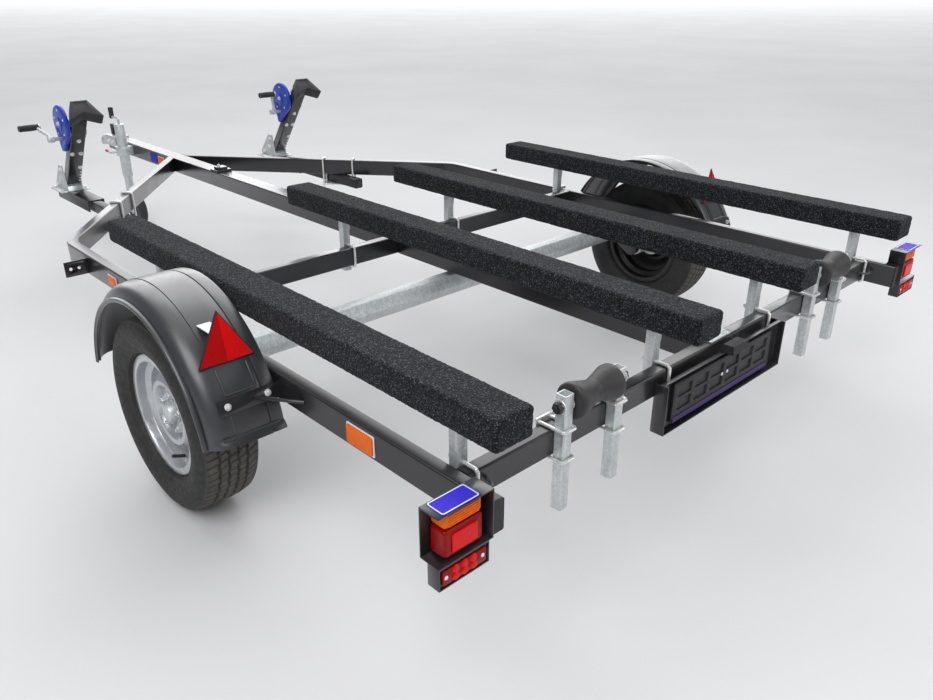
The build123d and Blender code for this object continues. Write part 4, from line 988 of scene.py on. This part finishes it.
def roller_nuts():
    """Black nuts and zinc washers on the roller pins."""
    nuts, washers = Kit(), Kit()
    for low, high in boxes_of("roller_posts"):
        if high.y - low.y < PIN_LEAST:
            continue
        middle = (low + high) / 2
        for y, way in ((low.y, -1), (high.y, 1)):
            out = LEFT * way
            face = Vector((middle.x, y - way * PIN_PROUD, middle.z))
            washers.disc(*PIN_WASHER, aim(face, out), 30, 0.0006)
            nuts.nut(face + out * PIN_WASHER[1], out, *PIN_NUT, False)
            washers.disc(*INNER_WASHER, aim(face - out * PIN_POST, -out), 30, 0.0005)
    nuts.piece("roller_nuts", "moulded", FINE_EDGE)
    washers.piece("roller_washers", "bright")


RIVET_Y = 0.014
RIVET_UP = 0.004
RIVET = (0.0055, 0.003)
STRIP_IN = 0.004
STRIP_T = 0.0022
STRIP_Z = (-0.004, 0.013)


def plate_trim():
    """Rivets on the plate holder and the blank strip along its foot."""
    low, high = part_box("plate_holder")
    middle = (low + high) / 2
    rivets = Kit()
    for y in (-RIVET_Y, RIVET_Y):
        rivets.dome(Vector((low.x + SINK, middle.y + y, middle.z + RIVET_UP)), -FORWARD, *RIVET)
    rivets.piece("plate_rivets", "white", slot="galvanised")
    strip = Kit().box((low.x - STRIP_T, low.y + STRIP_IN, low.z + STRIP_Z[0]),
                      (low.x + LET_IN, high.y - STRIP_IN, low.z + STRIP_Z[1]))
    strip.piece("plate_strip", "strip", FINE_EDGE)


JOINT_HALF = 0.052
JOINT_X = (0.002, 0.045)
JOINT_T = 0.005
JOINT_BOLT_X = (0.022, 0.068)
JOINT_BOLT_Y = (0.034, -0.034)
JOINT_BOLT = (0.0095, 0.0075)
JOINT_PEG_X = 0.02
JOINT_PEG = ((0, 0), (0.011, 0), (0.011, 0.006), (0.007, 0.01), (0.007, 0.034), (0.01, 0.038),
             (0.01, 0.046), (0, 0.048))


def joint_trim():
    """Plate, bolts and peg where the spine meets the rear crossbeam."""
    low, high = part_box("rear_crossbeam")
    top = high.z + JOINT_T
    plate = Kit().box((low.x + JOINT_X[0], -JOINT_HALF, high.z),
                      (high.x + JOINT_X[1], JOINT_HALF, top))
    plate.piece("joint_plate", "zinc", SOFT_EDGE)
    bolts = Kit()
    for x in JOINT_BOLT_X:
        for y in JOINT_BOLT_Y:
            bolts.nut(Vector((low.x + x, y, top)), UP, *JOINT_BOLT)
    bolts.piece("joint_bolts", "bright")
    peg = aim(Vector((high.x + JOINT_PEG_X, 0, top)), UP)
    Kit().turned(JOINT_PEG, peg, 24).piece("joint_peg", "moulded")


RAIL_W = 0.04
CAP_SIZE = (0.0395, 0.0795)
CAP_ROUND = 0.005
CAP_T = 0.004


def rail_caps():
    """Plastic caps in the rear ends of the side rails."""
    caps = Kit()
    for side in SIDES.values():
        low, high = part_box(f"side_rail_{side}")
        y = high.y - RAIL_W / 2 if side == "left" else low.y + RAIL_W / 2
        place = aim(Vector((low.x, y, (low.z + high.z) / 2)), -FORWARD)
        place = place @ Matrix.Rotation(pi / 2, 4, "Z")
        size = CAP_SIZE if abs(place.col[0].y) > 0.5 else CAP_SIZE[::-1]
        caps.slab(rounded(*size, CAP_ROUND), CAP_T, place)
    caps.piece("rail_caps", "moulded", SOFT_EDGE)


REFLECTOR_EDGE = 0.0028
REFLECTOR_BACK = 0.004


def reflector_backs():
    """Pale frames behind the amber side reflectors."""
    backs = Kit()
    for low, high in boxes_of("side_reflectors"):
        y = low.y if low.y > 0 else high.y - REFLECTOR_BACK
        backs.box((low.x - REFLECTOR_EDGE, y, low.z - REFLECTOR_EDGE),
                  (high.x + REFLECTOR_EDGE, y + REFLECTOR_BACK, high.z + REFLECTOR_EDGE))
    backs.piece("reflector_backs", "white", SOFT_EDGE)


# Winch stands: the post's lean and foot, half its depth, and the gussets' outer faces
POST_LEAN = radians(38.5)
POST_UP = Vector((-sin(POST_LEAN), 0, cos(POST_LEAN)))
POST_REAR = Vector((-cos(POST_LEAN), 0, -sin(POST_LEAN)))
POST_FOOT = (0.065, 0.004)
POST_DEEP = 0.0225
GUSSET_FACE = 0.04
# Bolts on the post's rear face: height along it and offset across it; below them a row of holes
POST_BOLTS = ((0.372, -0.002), (0.285, 0.024), (0.282, -0.018), (0.182, -0.021))
POST_BOLT = (0.0088, 0.006)
HOLES_UP = (0.08, 0.102, 0.124, 0.146)
HOLE_ACROSS = -0.027
HOLE_DISC = (0.0042, 0.0018)
HOLE_PROUD = 0.0006
# Bolts through the gussets: along and up from the post's foot; and in their flanges
GUSSET_BOLTS = ((-0.02, 0.105), (-0.008, 0.06), (0.052, 0.022))
GUSSET_BOLT = (0.0098, 0.0075)
FLANGE_X = (-0.04, 0.07)
FLANGE_OUT = 0.017
FLANGE_BOLT = (0.009, 0.007)


def stand_bolts():
    """Bolts and holes on the winch stands."""
    for name in SIDES.values():
        foot = Vector((STAND_HEEL + POST_FOOT[0], JOINTS[f"drum_spin_{name}"].y, STAND_FLOOR + POST_FOOT[1]))
        bolts = Kit()
        for along, across in POST_BOLTS:
            bolts.nut(foot + POST_UP * along + POST_REAR * POST_DEEP + LEFT * across, POST_REAR, *POST_BOLT)
        for across in (-1, 1):
            for x, z in GUSSET_BOLTS:
                bolts.nut(foot + Vector((x, across * GUSSET_FACE, z)), LEFT * across, *GUSSET_BOLT)
            for x in FLANGE_X:
                bolts.nut(foot + Vector((x, across * (GUSSET_FACE + FLANGE_OUT), 0)), UP, *FLANGE_BOLT)
        bolts.piece(f"stand_bolts_{name}", "bright")
        holes = Kit()
        deep = POST_DEEP + HOLE_PROUD - HOLE_DISC[1]
        for up in HOLES_UP:
            place = foot + POST_UP * up + POST_REAR * deep + LEFT * HOLE_ACROSS
            holes.disc(*HOLE_DISC, aim(place, POST_REAR), 18)
        holes.piece(f"stand_holes_{name}", "bright")


# Gear covers: the boss on the drum's axis, the vee of ribs towards the crank, and the screws
BOSS = ((0, 0), (0.031, 0), (0.031, 0.002), (0.028, 0.004), (0.012, 0.005), (0, 0.005))
BOSS_SINK = 0.0004
VEE_RIBS = ((0.05, 0.0042), (0.026, 0.0036))
VEE_Z = (0.012, 0.044)
COVER_SCREWS = (20, 90, 160, 232, 308)
COVER_CIRCLE = 0.062
COVER_SCREW = (0.0055, 0.0032)
COVER_NUT = (0.009, 0.006)
COVER_NUT_OUT = 0.004


def cover_trim():
    """Bosses, ribs and screws on the gear covers."""
    for name in SIDES.values():
        drum = JOINTS[f"drum_spin_{name}"]
        crank = JOINTS[f"crank_spin_{name}"]
        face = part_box(f"winch_cover_{name}")[1].y
        boss = Kit().turned(BOSS, aim(Vector((drum.x, face - BOSS_SINK, drum.z)), LEFT), 36)
        tip = Vector((crank.x, face - LET_IN, crank.z + VEE_Z[0]))
        for along, radius in VEE_RIBS:
            for way in (-1, 1):
                start = Vector((crank.x + way * along, face - LET_IN, crank.z + VEE_Z[1]))
                boss.tube([start, tip], radius, 10)
        boss.piece(f"cover_boss_{name}", "blue")
        screws = Kit()
        for angle in COVER_SCREWS:
            a = radians(angle)
            place = Vector((drum.x + COVER_CIRCLE * cos(a), face - HAIR,
                            drum.z + COVER_CIRCLE * sin(a)))
            screws.dome(place, LEFT, *COVER_SCREW)
        screws.nut(Vector((drum.x, face + COVER_NUT_OUT, drum.z)), LEFT, *COVER_NUT)
        screws.piece(f"cover_screws_{name}", "bright")


# Cranks: each arm's angle at rest and length, and its grip
CRANK_REST = {1: radians(24.0), -1: radians(116.0)}
CRANK_ARM = 0.118
GRIP_BACK = 0.0915
GRIP = ((0, 0), (0.0125, 0), (0.015, 0.003), (0.014, 0.012), (0.0152, 0.03), (0.0152, 0.062),
        (0.0142, 0.08), (0.0155, 0.088), (0.012, 0.0925), (0, 0.093))


def crank_grips():
    """Grips on the winch cranks, which turn with them."""
    for side, name in SIDES.items():
        crank = JOINTS[f"crank_spin_{name}"]
        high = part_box(f"winch_crank_{name}")[1]
        arm = CRANK_REST[side]
        place = Vector((crank.x + CRANK_ARM * cos(arm), high.y - GRIP_BACK,
                        crank.z + CRANK_ARM * sin(arm)))
        Kit().turned(GRIP, aim(place, LEFT), 26).piece(f"crank_grip_{name}", "grip", body=f"crank_{name}")


COUPLING_X = (0.035, 0.095)
COUPLING_DOWN = 0.028
COUPLING_BOLT = (0.0105, 0.008)
# Jockey: the sleeve on the tommy bar and the knob on the crank
SLEEVE = ((0, 0), (0.0082, 0), (0.0088, 0.004), (0.0088, 0.03), (0.006, 0.036), (0, 0.037))
SLEEVE_BACK = 0.034
TOMMY_IN = 0.009
KNOB = ((0, 0), (0.0125, 0), (0.0145, 0.004), (0.0138, 0.03), (0.015, 0.054), (0.0135, 0.064), (0, 0.066))
KNOB_BACK = 0.013
KNOB_DOWN = 0.064
# Clamp on the spine: its middle, and half length, half width and top of its two steps
CLAMP_X = 0.741
CLAMP_STEPS = ((0.036, 0.043, 0.01), (0.026, 0.026, 0.022))
CLAMP_EDGE = 0.0016
CLAMP_BOLT_Y = 0.01
CLAMP_BOLT = (0.0085, 0.008)
DRAWBAR_LABEL = (0.08, 0.056)
DRAWBAR_LABEL_X = 1.49
DRAWBAR_LABEL_GAP = 0.0004


def coupling_bolts():
    """Bolts that hold the coupling to the spine."""
    bolts = Kit()
    low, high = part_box("coupling_head")
    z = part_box("spine")[1].z - COUPLING_DOWN
    for x in COUPLING_X:
        for side in (-1, 1):
            bolts.nut(Vector((low.x + x, side * high.y, z)), LEFT * side, *COUPLING_BOLT)
    bolts.piece("coupling_bolts", "bright")


def jockey_trim():
    """The tommy bar's red sleeve and the knob on the jockey's crank."""
    low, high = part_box("jockey_clamp")
    place = Vector((high.x - SLEEVE_BACK, high.y - TOMMY_IN, (low.z + high.z) / 2))
    Kit().turned(SLEEVE, aim(place, FORWARD), 22).piece("tommy_sleeve", "red_tip")
    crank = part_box("jockey_crank")[1]
    place = Vector((crank.x - KNOB_BACK, JOINTS["jockey_raise"].y, crank.z - KNOB_DOWN))
    Kit().turned(KNOB, aim(place, UP), 26).piece("jockey_knob", "grip")


def spine_trim():
    """The clamp on the spine and the label on the drawbar."""
    low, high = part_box("spine")
    clamp = Kit()
    floor = high.z
    for half_x, half_y, top in CLAMP_STEPS:
        clamp.box((CLAMP_X - half_x, -half_y, floor), (CLAMP_X + half_x, half_y, high.z + top))
        floor = high.z + top
    clamp.piece("spine_clamp", "black", CLAMP_EDGE)
    stud = Kit()
    stud.nut(Vector((CLAMP_X, CLAMP_BOLT_Y, floor)), UP, *CLAMP_BOLT)
    stud.piece("spine_clamp_bolt", "bright")
    place = aim(Vector((DRAWBAR_LABEL_X, high.y + DRAWBAR_LABEL_GAP, (low.z + high.z) / 2)), LEFT)
    turn = 0 if abs(place.col[0].x) > 0.5 else pi / 2
    label("label_drawbar", place @ Matrix.Rotation(turn, 4, "Z"), *DRAWBAR_LABEL, False)


FLOOR_REACH = 60.0
SKY_COLOUR = (0.92, 0.95, 1.0, 1.0)
SKY_STRENGTH = 0.27
# Lamp name, place, target, width, height, power; the last one shines along the tops of the tubes
LAMPS = (("key", (-3.5, 4.0, 5.0), (0, 0, 0.4), 4.0, 4.0, 220.0),
         ("sky", (0.5, 0.0, 6.0), (0, 0, 0.3), 6.0, 6.0, 115.0),
         ("fill", (-5.5, -2.5, 3.0), (0, 0, 0.4), 3.5, 3.5, 60.0),
         ("glance", (34.0, -32.0, 29.0), (0, 0, 0.4), 108.0, 63.0, 47000.0))


def floor_and_light():
    """Pale floor, soft sky and studio lamps."""
    mesh = bpy.data.meshes.new("floor")
    corners = [(x * FLOOR_REACH, y * FLOOR_REACH, 0) for x, y in ((-1, -1), (1, -1), (1, 1), (-1, 1))]
    mesh.from_pydata(corners, [], [[0, 1, 2, 3]])
    floor = new_object("floor", mesh)
    look = Look("floor_pale", 0.85)
    look.colour(look.cloud(0.6, 3.0, rgb(208, 208, 209), rgb(215, 215, 216)))
    mesh.materials.append(look.material)

    world = bpy.data.worlds.new("studio")
    world.use_nodes = True
    background = world.node_tree.nodes["Background"]
    background.inputs["Color"].default_value = SKY_COLOUR
    background.inputs["Strength"].default_value = SKY_STRENGTH
    SCENE.world = world

    for name, place, target, width, height, power in LAMPS:
        data = bpy.data.lights.new(name, "AREA")
        data.shape = "RECTANGLE"
        data.size = width
        data.size_y = height
        data.energy = power
        new_object(name, data).matrix_world = aim(place, Vector(place) - Vector(target))


def photo_camera():
    """The camera at the photo's place and angle."""
    data = bpy.data.cameras.new("camera")
    data.lens = CAMERA_LENS
    data.sensor_width = CAMERA_SENSOR
    data.clip_end = CAMERA_FAR
    camera = new_object("camera", data)
    back = -Vector(CAMERA_FORWARD).normalized()
    right = UP.cross(back).normalized()
    turn = Matrix((right, back.cross(right), back)).transposed()
    camera.matrix_world = Matrix.Translation(CAMERA_AT) @ turn.to_4x4()
    SCENE.camera = camera
    SCENE.view_settings.view_transform = "Standard"


dress_nodes()
carpets()
tyres()
wheel_fittings()
fenders()
triangles()
fender_panels()
stay_bolts()
tail_lamps()
led_lamps()
box_labels()
post_ears()
roller_nuts()
plate_trim()
joint_trim()
rail_caps()
reflector_backs()
stand_bolts()
cover_trim()
crank_grips()
coupling_bolts()
jockey_trim()
spine_trim()
floor_and_light()
photo_camera()
bpy.context.view_layer.update()
